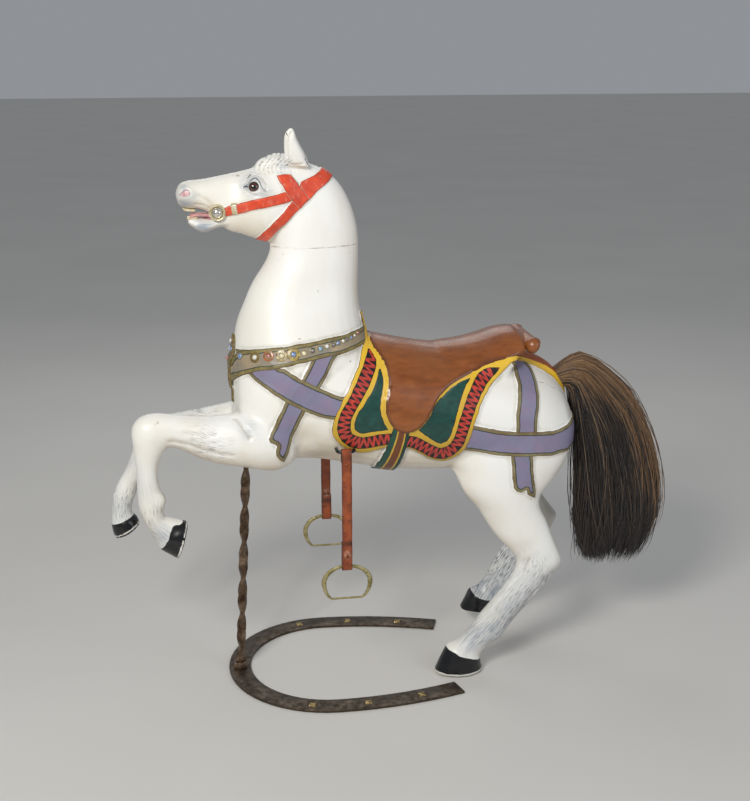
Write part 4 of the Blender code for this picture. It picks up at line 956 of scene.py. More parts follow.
def glass_jewel(name, code):
    """Foil-backed cut-glass jewel: saturated, clear coat, a painted shade darkening its edge and pale flecks
    painted in as glints of the foil, painted highlights.
    """
    material, tree, shader = new_material("foiled_glass_" + name, 0.08, coat=1.0, ior=1.52)
    # Painted shade: the jewel darkens where its surface turns away from the view
    rim = add(tree, "LayerWeight", {"Blend": 0.35}, "Facing")
    painted_glint = speckle(tree, 3, 2.0, strong=0.35)
    wire(tree, shader, {"Base Color": layered(tree, code, (rim, "#16130F"), (painted_glint, "#F3F1EC"))})
    return material


def glass_eye():
    """Blown glass eye: dark brown iris round a black pupil, fine spokes, wet gloss."""
    material, tree, shader = new_material("blown_glass_eye", 0.03, coat=1.0, ior=1.52)
    place = add(tree, "TexCoord", {}, "Object")
    spokes = add(tree, "TexNoise", {"Vector": place, "Scale": 900.0, "Detail": 4.0})
    gaze = add(tree, "Attribute", {}, "Fac", attribute_name="gaze")
    from_axis = add(tree, "Math", {0: spokes, 1: 1.2, 2: gaze}, operation="MULTIPLY_ADD")
    wire(tree, shader, {"Base Color": stripes(tree, from_axis, 20.0, [
        (0, "#050303"), (5.4, "#3A1A0F"), (7.0, "#55291A"), (9.6, "#1A0C08"), (12.6, "#B8AFA6")])})
    return material


def plain_paint(name, light, dark, roughness):
    """Small painted carving in one colour, mottled where it has aged."""
    material, tree, shader = new_material(name, roughness, coat=0.3)
    grain = add(tree, "Bump", {"Height": speckle(tree, 2.5), "Strength": 0.15, "Distance": 0.3 * MM})
    wire(tree, shader, {"Base Color": layered(tree, light, (speckle(tree, 7, 4.0), dark)), "Normal": grain})
    return material


# The carved horse

def far_hind(ring):
    """The far hind leg: the near leg's ring, reached back, lifted and set out towards the foot."""
    upper_x, upper_z, lower_x, lower_z, half_width, middle_y = ring

    def moved(x, z):
        drop = max(0.0, 1 - z / HIP_HEIGHT)
        return x + FAR_HIND_REACH * drop, z + FAR_HIND_LIFT * min(1.0, 2 * drop)

    spread = FAR_HIND_SPREAD * max(0.0, 1 - upper_z / HIP_HEIGHT)
    return (*moved(upper_x, upper_z), *moved(lower_x, lower_z), half_width, middle_y + spread)


def raw_head(bm):
    """Lofts of the head, jaw, forelock and ears."""
    for rings in (NECK, HEAD, JAW, FORELOCK):
        loft(bm, rings)
    loft(bm, [(*ring, -EAR_SPREAD - EAR_FLARE * i) for i, ring in enumerate(EAR)])
    loft(bm, [(a + FAR_EAR_BACK, b - FAR_EAR_DROP, c + FAR_EAR_BACK, d - FAR_EAR_DROP, half,
               EAR_SPREAD + EAR_FLARE * i) for i, (a, b, c, d, half) in enumerate(EAR)])


def raw_body(bm):
    """Lofts of the trunk, neck, legs, hooves and the saddle's back."""
    raw_head(bm)
    for rings in (TRUNK, CANTLE, CRUPPER, NEAR_FORELEG, FAR_FORELEG, NEAR_FORE_HOOF, FAR_FORE_HOOF,
                  NEAR_HIND_HOOF, FAR_HIND_HOOF):
        loft(bm, rings)
    loft(bm, [(*ring[:5], -ring[5]) for ring in HIND_LEG])
    loft(bm, [far_hind(ring) for ring in HIND_LEG])
    x, z, radius, half = CANTLE_ROLL
    place = Matrix.Translation(Vector((x, 0, z)) * MM) @ Matrix.Rotation(math.pi / 2, 4, "X")
    bmesh.ops.create_cone(bm, cap_ends=True, segments=32, radius1=radius * MM, radius2=radius * MM,
                          depth=2 * half * MM, matrix=place)
    for side in (NEAR, FAR):
        knob = Matrix.Translation(Vector((x + 2, side * (half + 4), z - 1)) * MM)
        bmesh.ops.create_uvsphere(bm, u_segments=24, v_segments=16, radius=CANTLE_KNOB * MM, matrix=knob)


def grown_wood(name, lofts, grain, keep_above):
    """Lofts grown into one body and smoothed, cut at the neck's glue joint."""
    bm = bmesh.new()
    lofts(bm)
    bmesh.ops.recalc_face_normals(bm, faces=bm.faces[:])
    mesh = bpy.data.meshes.new(name)
    bm.to_mesh(mesh)
    bm.free()
    wood = bpy.data.objects.new(name, mesh)
    bpy.context.scene.collection.objects.link(wood)
    grown = wood.modifiers.new("grown", "REMESH")
    grown.mode = "VOXEL"
    grown.voxel_size = grain
    soften = wood.modifiers.new("soften", "SMOOTH")
    soften.factor = 0.5
    soften.iterations = max(3, round(3 * (BLEND_GRAIN / grain) ** 2))
    settle(wood)
    group = wood.vertex_groups.new(name="blend")
    co, _ = mesh_arrays(wood.data)
    side_view = co[:, [0, 2]] / MM
    weight = np.zeros(len(co))
    for x, z, radius in BLENDS:
        weight = np.maximum(weight, 1.6 * (1 - np.hypot(side_view[:, 0] - x, side_view[:, 1] - z) / radius))
    for level in range(1, BLEND_LEVELS + 1):
        under = (weight <= level / BLEND_LEVELS) | (level == BLEND_LEVELS)
        chosen = np.nonzero((weight > (level - 1) / BLEND_LEVELS) & under)[0]
        group.add(chosen.tolist(), level / BLEND_LEVELS, "REPLACE")
    blend = wood.modifiers.new("blend", "SMOOTH")
    blend.factor = 0.6
    blend.iterations = round(BLEND_PASSES * (BLEND_GRAIN / grain) ** 2)
    blend.vertex_group = "blend"
    settle(wood)
    bm = bmesh.new()
    bm.from_mesh(wood.data)
    joint = NECK_JOINT_HEIGHT + (NECK_JOINT_GAP if keep_above else 0)
    cut = bmesh.ops.bisect_plane(bm, geom=bm.verts[:] + bm.edges[:] + bm.faces[:], dist=1e-6,
                                 plane_co=(0, 0, joint), plane_no=(0, 0, 1), clear_inner=keep_above,
                                 clear_outer=not keep_above)["geom_cut"]
    rim = [item for item in cut if isinstance(item, bmesh.types.BMEdge)]
    bmesh.ops.holes_fill(bm, edges=rim, sides=0)
    bmesh.ops.triangulate(bm, faces=[face for face in bm.faces if len(face.verts) > 4])
    bm.to_mesh(wood.data)
    bm.free()
    wood.vertex_groups.clear()
    return wood


def leg_grain(co):
    """Run along the nearest leg and distance across it, in mm, for brush strokes that follow the legs."""
    side_view = co[:, [0, 2]] / MM
    nearest = np.full(len(co), 1e9)
    along, across = side_view[:, 1].copy(), side_view[:, 0].copy()
    far_hind_leg = [far_hind(ring) for ring in HIND_LEG]
    for side, rings in ((NEAR, NEAR_FORELEG), (FAR, FAR_FORELEG), (NEAR, HIND_LEG), (FAR, far_hind_leg)):
        gap, run = line_distance(side_view, [((r[0] + r[2]) / 2, (r[1] + r[3]) / 2) for r in rings])
        front, _ = line_distance(side_view, [(r[0], r[1]) for r in rings])
        back, _ = line_distance(side_view, [(r[2], r[3]) for r in rings])
        closer = (gap < nearest) & (gap < LEG_REACH) & (np.sign(co[:, 1]) == side)
        nearest[closer] = gap[closer]
        along[closer] = run[closer]
        across[closer] = (front - back)[closer] + SIDE_SHIFT * side
    return along, across


def facing_away_shade(normal):
    """How much the surface faces down or back, where a beige painted shade is laid on the cream."""
    return np.clip(-normal[:, 2] * 0.85 - 0.05, 0, 1) + np.clip(normal[:, 0] - 0.72, 0, 1) * 1.6


def carve_body(mesh):
    """Move the surface for muscles, folds, cloth and straps, and keep the readings for its paint."""
    co, normal = mesh_arrays(mesh)
    side_view = co[:, [0, 2]] / MM
    x, z = side_view.T
    outward = normal[:, 1] * np.sign(co[:, 1])
    rise = spots(side_view, SWELLS)
    for depth, half_width, line in CUTS:
        gap, _ = line_distance(side_view, flow(line, 4))
        rise -= depth * np.exp(-(gap / half_width) ** 2)
    rise *= step_up(np.abs(normal[:, 1]) - 0.35, 0.15)
    hidden = (outward < -0.1) & (z < 700)
    zones = {
        "under": (SHOULDER_RIBBON, RUMP_RIBBON), "over": (BREAST_RIBBON, RUMP_BAND), "strap": (BREAST_STRAP,),
        "blanket": (BLANKET,), "band": (BAND_OUTER + BAND_INNER[::-1],), "green": (FRONT_GREEN, REAR_GREEN),
        "saddle": (SADDLE,), "girth": (GIRTH_LEFT + GIRTH_RIGHT[::-1],),
    }
    readings = {}
    for name, outlines in zones.items():
        reach = np.max([inside(side_view, outline)[0] for outline in outlines], 0)
        readings[name] = np.where(hidden & (name in ("under", "over")), OUTSIDE, reach)
    outer, outer_run = line_distance(side_view, BAND_OUTER)
    within, inner_run = line_distance(side_view, BAND_INNER)
    readings["share"] = outer / (outer + within + 0.01)
    readings["run"] = (outer_run / outer_run.max() + inner_run / inner_run.max()) / 2 * ZIGZAGS
    left, right = line_distance(side_view, GIRTH_LEFT)[0], line_distance(side_view, GIRTH_RIGHT)[0]
    readings["width"] = left / (left + right)
    readings["piping"] = np.maximum(FRONT_PIPING_HALF - line_distance(side_view, flow(FRONT_PIPING, 2))[0],
                                    REAR_PIPING_HALF + np.clip((x - 590) / 40, 0, 1.6)
                                    - line_distance(side_view, flow(REAR_PIPING, 2))[0])
    half_width = np.interp(x, [655, 700, 760, 810], [62, 46, 36, 30])
    top_side = (x > 655) & (z > 690) & (z < 806) & (x < 850) & (normal[:, 2] + normal[:, 0] > 0.1)
    readings["crupper"] = np.where(top_side, half_width - np.abs(co[:, 1]) / MM, OUTSIDE)
    ribbon = np.maximum(readings["under"], readings["over"])
    cloth = STRAP_RELIEF * step_up(ribbon, EDGE)
    for relief in (BREAST_RELIEF * step_up(readings["strap"], EDGE),
                   CRUPPER_RELIEF * step_up(readings["crupper"], EDGE),
                   BLANKET_RELIEF * step_up(readings["blanket"], EDGE)):
        cloth = np.maximum(cloth, relief)
    cloth -= PANEL_DEPTH * step_up(readings["green"], FINE_EDGE)
    for relief in (GIRTH_RELIEF * step_up(readings["girth"], EDGE) * (z < GIRTH_TOP),
                   SADDLE_RELIEF * step_up(readings["saddle"], EDGE) * step_up(SADDLE_END - x, 6),
                   PIPING_RELIEF * step_up(readings["piping"], FINE_EDGE) * (z < PIPING_TOP)):
        cloth = np.maximum(cloth, relief)
    for name in ("under", "over", "strap"):
        ridge = np.exp(-((readings[name] - RIDGE_INSET) / RIDGE_WIDTH) ** 2)
        cloth += RIDGE_RELIEF * ridge * (cloth < STRAP_RELIEF + 1.2)
    moved = co + normal * ((rise + cloth) * MM)[:, None]
    moved[:, 2] = np.maximum(moved[:, 2], HOOF_CLEARANCE)
    mesh.vertices.foreach_set("co", moved.astype(np.float32).ravel())
    mesh.update()
    hoof, stripe = np.full(len(co), OUTSIDE), np.full(len(co), OUTSIDE)
    for side, outline, (first, last), start, end in HOOF_ZONES:
        black = np.where(np.sign(co[:, 1]) == side, inside(side_view, outline)[0], OUTSIDE)
        hoof = np.maximum(hoof, black)
        sole = np.array(last, float) - first
        above = (side_view - first) @ np.array((-sole[1], sole[0])) / math.hypot(*sole)
        stripe = np.where(black > 0, (end - start) / 2 - np.abs(above - (start + end) / 2), stripe)
    readings.update(hoof=hoof, stripe=stripe)
    readings["grey"] = np.clip(spots(side_view, GREY_SHADING), 0, 1)
    readings["strokes"] = np.clip(spots(side_view, HAIR_STROKES), 0, 1)
    readings["along"], readings["across"] = leg_grain(co)
    readings["crack"] = np.min([line_distance(side_view, line)[0] for line in CRACKS], 0)
    co, normal = mesh_arrays(mesh)
    # Beige painted shade on the surfaces that face down or back
    readings["warm"] = facing_away_shade(normal)
    # How hollow the surface lies, for the painted shade in its recesses, left off the blanket
    readings["hollow"] = hollows(mesh, co, normal, 4) * (readings["blanket"] < 0)
    for name, values in readings.items():
        note(mesh, name, values)


def carve_head(mesh):
    """Move the head's surface for its features and bridle, and keep the readings for its paint."""
    co, normal = mesh_arrays(mesh)
    side_view = co[:, [0, 2]] / MM
    x, z = side_view.T
    rise = spots(side_view, SWELLS + HEAD_SWELLS)
    for depth, half_width, line in CUTS + HEAD_CUTS:
        gap, _ = line_distance(side_view, flow(line, 4))
        rise -= depth * np.exp(-(gap / half_width) ** 2)
    rise *= step_up(np.abs(normal[:, 1]) - 0.30, 0.15)
    locks = np.clip(spots(side_view, LOCK_SPOTS), 0, 1)
    comb = np.sin((x * 0.93 - z * 0.36 + 6 * np.sin(z / 9.0)) / 1.45) + 0.5 * np.sin((x * 0.8 - z * 0.6) / 3.1)
    rise += LOCK_RELIEF * locks * comb
    readings = {
        "cheek": inside(side_view, CHEEK_STRAP)[0],
        "throat": inside(side_view, THROAT_STRAP)[0],
        "brow": inside(side_view, BROW_PIECE)[0],
    }
    strap = np.maximum(readings["cheek"], readings["throat"])
    relief = np.maximum(BRIDLE_RELIEF * step_up(strap, BRIDLE_EDGE),
                        BROW_RELIEF * step_up(readings["brow"], BRIDLE_EDGE))
    moved = co + normal * ((rise + relief) * MM)[:, None]
    mesh.vertices.foreach_set("co", moved.astype(np.float32).ravel())
    mesh.update()
    readings["pink"] = inside(side_view, NOSTRIL)[0]
    readings["mouth"] = inside(side_view, MOUTH)[0]
    strokes = [half - line_distance(side_view, flow(line, 3))[0] for half, line in FACE_STROKES]
    readings["ink"] = np.max(strokes, 0)
    readings["grey"] = np.clip(spots(side_view, GREY_SHADING), 0, 1)
    readings["strokes"] = np.clip(spots(side_view, HAIR_GREY), 0, 1) * (comb < -0.2) * 0.8
    readings["along"], readings["across"] = x + 0.4 * z, z * 0.45
    readings["crack"] = line_distance(side_view, CRACKS[1])[0]
    co, normal = mesh_arrays(mesh)
    # Beige painted shade on the surfaces that face down or back
    readings["warm"] = facing_away_shade(normal)
    # How hollow the surface lies, for the painted shade in its recesses, made stronger on the head
    readings["hollow"] = hollows(mesh, co, normal, 6) * HEAD_RECESS_SHADE_GAIN
    for name, values in readings.items():
        note(mesh, name, values)


body = grown_wood("carved_horse_body", raw_body, BODY_GRAIN, keep_above=False)
carve_body(body.data)
dress(body, body_paint, ("horse",))
head = grown_wood("carved_horse_head", raw_head, HEAD_GRAIN, keep_above=True)
carve_head(head.data)
dress(head, head_paint, ("horse",))


def surface_of(*pieces):
    """Tree of the faces of some pieces, for placing what sits on them."""
    bm = bmesh.new()
    for piece in pieces:
        bm.from_mesh(piece.data)
    tree = BVHTree.FromBMesh(bm)
    bm.free()
    return tree


wood = surface_of(body, head)


def flank(x, z, side):
    """Point and outward normal of the carving at a side-view place, on one side."""
    point, normal, _, _ = wood.ray_cast(Vector((x * MM, side, z * MM)), Vector((0, -side, 0)))
    return point, normal


def seat(point, normal):
    """Matrix with z out of the surface."""
    return Matrix.Translation(point) @ normal.to_track_quat("Z", "Y").to_matrix().to_4x4()


def turned(bm, profile, place, sides=40):
    """Turned shape: a profile of (radius, height) in metres spun about the place's z axis."""
    matrices = [place @ Matrix.Translation((0, 0, height)) @ Matrix.Diagonal((radius, radius, 1, 1))
                for radius, height in profile]
    sweep(bm, matrices, sides)


# Head fittings

EYE_RADIUS = 0.014
EYE_CENTRE = (62, 1214)
eye_glass = glass_eye()
lid_paint = plain_paint("painted_eyelid", "#868C98", "#555A66", 0.35)
lower_lid_paint = plain_paint("painted_lower_eyelid", "#DAD6D0", "#B9B4B4", 0.35)
for side, side_name in SIDES:
    low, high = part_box(f"eye_{side_name}")
    centre = Vector((EYE_CENTRE[0] * MM, (low.y + high.y) / 2, EYE_CENTRE[1] * MM))
    bm = bmesh.new()
    bmesh.ops.create_uvsphere(bm, u_segments=40, v_segments=24, radius=EYE_RADIUS,
                              matrix=Matrix.Translation(centre))
    ball = finished(f"glass_eye_{side_name}", bm, eye_glass, (f"eye_{side_name}",))
    gaze = Vector((-0.10, side, 0.05)).normalized()
    co, _ = mesh_arrays(ball.data)
    off = co - np.array(centre)
    along = off @ np.array(gaze)
    aside = np.linalg.norm(off - along[:, None] * np.array(gaze), axis=1) / MM
    note(ball.data, "gaze", np.where(along > 0, aside, 20.0))
    socket = surface_of(head, ball)
    for lid, line, thickness, paint in (("upper", UPPER_LID, 0.0017, lid_paint),
                                        ("lower", LOWER_LID, 0.0014, lower_lid_paint)):
        points = flow(line, 4)
        rim = []
        for i, (px, pz) in enumerate(points):
            spot = socket.ray_cast(Vector((px * MM, side, pz * MM)), Vector((0, -side, 0)))[0]
            rim.append((spot, thickness * (0.35 + 0.65 * math.sin(math.pi * i / (len(points) - 1)))))
        tubes(f"{lid}_lid_{side_name}", [rim], paint, 12)

cream_enamel = plain_paint("aged_cream_enamel_teeth", "#EADFC0", "#D2C196", 0.25)
tongue_paint = plain_paint("painted_tongue", "#E2B0AC", "#C48C8C", 0.35)
for name, line, radius, half, material in (
        ("teeth_upper", [(-98, 1166), (-94, 1163), (-84, 1161), (-70, 1160)], 4.2, 16, cream_enamel),
        ("teeth_lower", [(-89, 1142), (-84, 1143), (-77, 1143), (-66, 1143)], 3.8, 13, cream_enamel),
        ("tongue", [(-82, 1147), (-66, 1150), (-48, 1149), (-28, 1145)], 5.2, 15, tongue_paint)):
    bm = bmesh.new()
    matrices = [basis(Vector((0, 0, radius * MM)), Vector((0, half * MM, 0)), Vector((-1, 0, 0)),
                      Vector((px * MM, 0, pz * MM))) for px, pz in flow(line, 5)]
    sweep(bm, matrices, 28)
    finished(name, bm, material)

# Profiles of the bit boss, as radius and height in metres
BOSS_RIM = [(0.0190, -0.004), (0.0196, 0.0), (0.0190, 0.0032), (0.0174, 0.0046), (0.0158, 0.0042),
            (0.0148, 0.0022), (0.0130, 0.0012), (0.0126, -0.003)]
BOSS_DOME = [(0.0120, -0.003), (0.0120, 0.0022), (0.0115, 0.0042), (0.0104, 0.0070), (0.0085, 0.0095),
             (0.0059, 0.0112), (0.0030, 0.0121), (0.0006, 0.0123)]
BOSS_REACH, BOSS_SUNK, BOSS_TURN = 17, 0.0015, -0.12
for side, side_name in SIDES:
    low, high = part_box(f"bit_boss_{side_name}")
    middle = (low + high) / 2
    under = [flank(middle.x / MM + BOSS_REACH * math.cos(t), middle.z / MM + BOSS_REACH * math.sin(t), side)[0]
             for t in np.linspace(0, 5.5, 8)]
    proud = max(side * spot.y for spot in under if spot)
    place = seat(Vector((middle.x, side * (proud - BOSS_SUNK), middle.z)),
                 Vector((BOSS_TURN, side, 0.0)).normalized())
    bm = bmesh.new()
    turned(bm, BOSS_RIM, place)
    finished(f"bit_boss_rim_{side_name}", bm, pale_brass, (f"bit_boss_{side_name}",), angle=50)
    bm = bmesh.new()
    turned(bm, BOSS_DOME, place)
    finished(f"bit_boss_dome_{side_name}", bm, nickel, (f"bit_boss_{side_name}",), angle=60)
    from_cad(f"strap_keeper_{side_name}", f"brass_keeper_{side_name}", pale_brass, 0.0012)

# Jewels of the breast strap

JEWEL_COLOURS = {
    "blue": "#3F6FB5", "white": "#EFEDE6", "amber": "#A8401C", "cream": "#F0E3B8", "garnet": "#3A0F0C",
    "sky": "#7FB3CF", "navy": "#1C2438", "red": "#B03A38", "disc_gold": "#7E6A30", "disc_orange": "#B8683C",
    "disc_cream": "#D8C69A", "disc_yellow": "#C9B25E",
}
# A jewel's metal setting: share of the jewel's radius, height in metres
COLLET = [(1.22, -0.001), (1.22, 0.0009), (1.1, 0.0014), (0.99, 0.0010), (0.99, -0.001)]


def stone_dome(radius, height_share):
    """Profile of a domed stone that starts a millimetre inside the wood."""
    return [(radius, -0.001)] + [(radius * math.cos(t), radius * height_share * math.sin(t))
                                 for t in np.linspace(0, 1.5, 6)]


stones = {name: bmesh.new() for name in JEWEL_COLOURS}
collets = bmesh.new()
for side, side_name in SIDES:
    for count, (x, z, radius, name) in enumerate(JEWELS):
        if side == FAR and count % 2:
            continue
        place = seat(*flank(x, z, side))
        turned(stones[name], stone_dome(radius * MM, 0.75), place, 16)
        rim = [(radius * MM * share, height) for share, height in COLLET]
        turned(collets, rim, place, 16)
    for x, z, radius, name in JEWEL_DISCS:
        place = seat(*flank(x, z, side))
        turned(stones[name], [(radius * MM, -0.0015), (radius * MM, 0.0003), (radius * 0.9 * MM, 0.0007)],
               place, 24)
for name, code in JEWEL_COLOURS.items():
    if name.startswith("disc"):
        finish = plain_paint("painted_" + name, code, "#6E5A34", 0.4)
    else:
        finish = glass_jewel(name, code)
    finished("jewels_" + name, stones[name], finish)
finished("jewel_settings", collets, aged_brass)

# Chest ornament and hanging strap, carved on the front of the chest: rows of height and half width, in mm

ORNAMENT = [(868, 6), (862, 16), (850, 25), (830, 30), (808, 26), (792, 15), (784, 5)]
HANGING_STRAP = [(800, 10), (780, 11), (750, 11), (720, 11), (704, 8)]
ornament_paint = plain_paint("painted_ornament_gilt", "#8C7A4A", "#5A4A2A", 0.4)


def chest_point(y, z):
    """Point and outward normal of the chest front at a place seen from in front."""
    return wood.ray_cast(Vector((-0.5, y * MM, z * MM)), Vector((1, 0, 0)))[:2]


def chest_band(name, rows, thickness, material):
    """Band down the chest front: rows of (height, half width) in mm, lying on the wood."""
    matrices = []
    for z, half in rows:
        point, normal = chest_point(0.0, z)
        up = Vector((0, 1, 0)).cross(normal).normalized()
        matrices.append(basis(normal * thickness, Vector((0, half * MM, 0)), up, point))
    bm = bmesh.new()
    sweep(bm, matrices, 24)
    finished(name, bm, material)


chest_band("chest_ornament", flow(ORNAMENT, 4), 0.0065, ornament_paint)
chest_band("hanging_strap", flow(HANGING_STRAP, 4), 0.0055, ornament_paint)
wood_front = surface_of(body, bpy.data.objects["chest_ornament"], bpy.data.objects["hanging_strap"])
front_stones = {"white": [(0, 852), (0, 833)], "red": [(0, 811)], "blue": [(-16, 836), (16, 836)]}
for name, places in front_stones.items():
    bm = bmesh.new()
    for y, z in places:
        point, normal = wood_front.ray_cast(Vector((-0.5, y * MM, z * MM)), Vector((1, 0, 0)))[:2]
        turned(bm, stone_dome(0.0055, 0.8), seat(point, normal), 16)
    finished("chest_jewels_" + name, bm, bpy.data.materials["foiled_glass_" + name])

# Stirrups

leather = strap_leather()
# Turns the circle of a sweep with four sides into a square from -1 to 1
SQUARE = Matrix.Rotation(math.pi / 4, 4, "Z") @ Matrix.Diagonal((math.sqrt(2), math.sqrt(2), 1, 1))
# Half of the hook's bends, from its middle out: across and inwards, in metres
HOOK_RADIUS, HOOK_BENDS = 0.004, [(0.012, 0), (0.016, 0.001), (0.0195, 0.006), (0.020, 0.012)]
LEATHER_HALF, LEATHER_THICK, LEATHER_FOLD = 0.012, 0.0035, 0.062
LEATHER_LENGTHS = {"near": 0.289, "far": 0.271}
IRON_HALF, IRON_HEIGHT, TREAD, IRON_TOP = 0.056, 0.083, 0.005, 0.0065
IRON_SIDE_THICK, IRON_SIDE_WIDTH, IRON_RINGS = 0.012, 0.008, 96

# Dark holes and nicks in the leathers: across and below the hook, in mm
STRAP_MARKS = [(3, 60), (-2, 128), (6, 170), (-5, 240), (1, 262), (-9, 96), (-11, 160), (-11, 196)]
# How far below the hook each leather is rubbed pale, in mm
SCUFF_DROP = {"near": 254, "far": 206}


def leather_line(length):
    """Side profile of the folded strap, as (out, up) from the hook's middle."""
    turn_top = HOOK_RADIUS + 0.0003 + LEATHER_THICK / 2
    turn_bottom = IRON_TOP / 2 + 0.0013 + LEATHER_THICK / 2
    shift = turn_top - turn_bottom
    line = [(-turn_top, -LEATHER_FOLD * 0.45), (-turn_top, -LEATHER_FOLD * 0.2)]
    line += [(turn_top * math.cos(a), turn_top * math.sin(a)) for a in np.linspace(math.pi, 0, 13)]
    line += [(turn_top, -length * share) for share in np.linspace(0.06, 0.94, 14)]
    line += [(shift + turn_bottom * math.cos(a), -length + turn_bottom * math.sin(a))
             for a in np.linspace(0, -math.pi, 13)]
    line += [(shift - turn_bottom, -length + LEATHER_FOLD * share) for share in (0.4, 0.75, 1.0)]
    return line


for side, side_name in SIDES:
    low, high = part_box(f"stirrup_hook_{side_name}")
    middle = Vector(((low.x + high.x) / 2, (low.y if side == NEAR else high.y) - side * HOOK_RADIUS,
                     (low.z + high.z) / 2))
    root = (high.y if side == NEAR else low.y) - middle.y
    half_bends = [(across, -side * inwards) for across, inwards in HOOK_BENDS] + [(HOOK_BENDS[-1][0], root)]
    bends = [(-across, inwards) for across, inwards in reversed(half_bends)] + half_bends
    path = [(middle + Vector((across, inwards, 0)), HOOK_RADIUS) for across, inwards in bends]
    tubes(f"iron_hook_{side_name}", [path], hook_iron, 16, replaced=(f"stirrup_hook_{side_name}",))
    bm = bmesh.new()
    line = leather_line(LEATHER_LENGTHS[side_name])
    matrices = []
    for i, (out, up) in enumerate(line):
        ahead = np.array(line[min(i + 1, len(line) - 1)]) - np.array(line[max(i - 1, 0)])
        along = Vector((0, side * ahead[0], ahead[1])).normalized()
        wall = Vector((1, 0, 0)).cross(along)
        spot = middle + Vector((0, side * out, up))
        half = LEATHER_HALF * (1 + 0.02 * math.sin(i * 1.7))
        matrices.append(basis(Vector((half, 0, 0)), wall * LEATHER_THICK / 2, along, spot) @ SQUARE)
    sweep(bm, matrices, 4)
    strap = finished(f"leather_{side_name}", bm, leather, (f"stirrup_leather_{side_name}",))
    settle(bevelled(strap, 0.0007, 2, 50))
    strap.modifiers.new("finer", "SUBSURF").subdivision_type = "SIMPLE"
    strap.modifiers["finer"].levels = strap.modifiers["finer"].render_levels = 2
    settle(strap)
    co, _ = mesh_arrays(strap.data)
    drop = (middle.z - co[:, 2]) / MM
    across = np.abs(co[:, 0] - middle.x) / MM
    mark = 0.9 * np.exp(-((drop - 226) / 6) ** 2) + 0.7 * step_up(across - 11.2, 0.5)
    mark += 0.5 * np.exp(-((drop - 14) / 10) ** 2)
    for hole_x, hole_drop in STRAP_MARKS:
        mark += np.exp(-((co[:, 0] - middle.x) / MM - hole_x) ** 2 / 6 - (drop - hole_drop) ** 2 / 5)
    scuff = np.exp(-(across / 7) ** 2 - ((drop - SCUFF_DROP[side_name]) / 8) ** 2)
    note(strap.data, "mark", np.clip(mark, 0, 1))
    note(strap.data, "scuff", scuff)
    strap.data.set_sharp_from_angle(angle=math.radians(50))
    for place in ("upper", "lower"):
        low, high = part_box(f"rivet_{side_name}_{place}")
        centre = (low + high) / 2
        inner = high.y if side == NEAR else low.y
        bm = bmesh.new()
        turned(bm, [(0.0036, 0.0), (0.0036, 0.0006), (0.0031, 0.0014), (0.0019, 0.0020), (0.0004, 0.0022)],
               seat(Vector((centre.x, inner, centre.z)), Vector((0, side, 0))), 20)
        finished(f"rivet_head_{side_name}_{place}", bm, copper_rivet, (f"rivet_{side_name}_{place}",))
    low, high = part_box(f"stirrup_iron_{side_name}")
    centre = Vector(((low.x + high.x) / 2, (low.y + high.y) / 2, high.z - (IRON_HEIGHT + IRON_TOP) / 2))
    rings = []
    for i in range(IRON_RINGS):
        angle = 2 * math.pi * i / IRON_RINGS
        squash = 0.80 if math.cos(angle) < 0 else 1.0
        px = IRON_HALF * math.copysign(abs(math.sin(angle)) ** squash, math.sin(angle))
        pz = max(-0.5, 0.5 * math.cos(angle) * (1.0 if math.cos(angle) > 0 else 1.25)) * IRON_HEIGHT
        share = min(1.0, abs(px) / IRON_HALF)
        width = TREAD + (IRON_SIDE_WIDTH - TREAD) * share
        thick = (IRON_TOP + (IRON_SIDE_THICK - IRON_TOP) * share) * (1 - 0.9 * max(0.0, -pz / IRON_HEIGHT))
        if pz < -0.49 * IRON_HEIGHT:
            width = thick = TREAD
        rings.append((Vector((px, 0, pz)), width, thick))
    matrices = []
    for i, (spot, width, thick) in enumerate(rings):
        ahead = (rings[(i + 1) % IRON_RINGS][0] - rings[i - 1][0]).normalized()
        outward = Vector((0, 1, 0)).cross(ahead).normalized()
        matrices.append(basis(outward * thick / 2, Vector((0, width / 2, 0)), ahead, centre + spot))
    bm = bmesh.new()
    sweep(bm, matrices + matrices[:1], 16, capped=False)
    bmesh.ops.remove_doubles(bm, verts=bm.verts[:], dist=1e-5)
    finished(f"stirrup_bow_{side_name}", bm, aged_brass, (f"stirrup_iron_{side_name}",))

# Stand

ROD_WIDTH, ROD_THICK, ROD_LEAN, HALF_TURN = 0.021, 0.011, math.radians(3.0), 0.095
ROD_RINGS, ROD_TENON = 150, 0.03
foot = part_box("stand_rod")[0].z
bm = bmesh.new()
lean = Matrix.Rotation(ROD_LEAN, 4, "Y")
matrices = []
belly = wood.ray_cast(Vector((0, 0, 0)), lean @ Vector((0, 0, 1)))[3]
for i in range(ROD_RINGS + 1):
    height = foot + (belly + ROD_TENON - foot) * i / ROD_RINGS
    turn = math.pi * (height - foot) / HALF_TURN
    matrices.append(lean @ Matrix.Translation((0, 0, height)) @ Matrix.Rotation(turn, 4, "Z")
                    @ Matrix.Diagonal((ROD_WIDTH / 2, ROD_THICK / 2, 1, 1)) @ SQUARE)
sweep(bm, matrices, 4)
rod = finished("twisted_rod", bm, wrought_iron, ("stand_rod",))
settle(bevelled(rod, 0.0007, 2, 50))
rod.data.set_sharp_from_angle(angle=math.radians(30))
from_cad("rod_foot", "rod_socket", wrought_iron, 0.0015)
from_cad("horseshoe_base", "horseshoe_plate", plate_iron, 0.0012)
for side, side_name in SIDES:
    for i in (1, 2, 3):
        from_cad(f"nail_{side_name}_{i}", f"nail_head_{side_name}_{i}", nail_steel, 0.0008)

# Tail of real hair

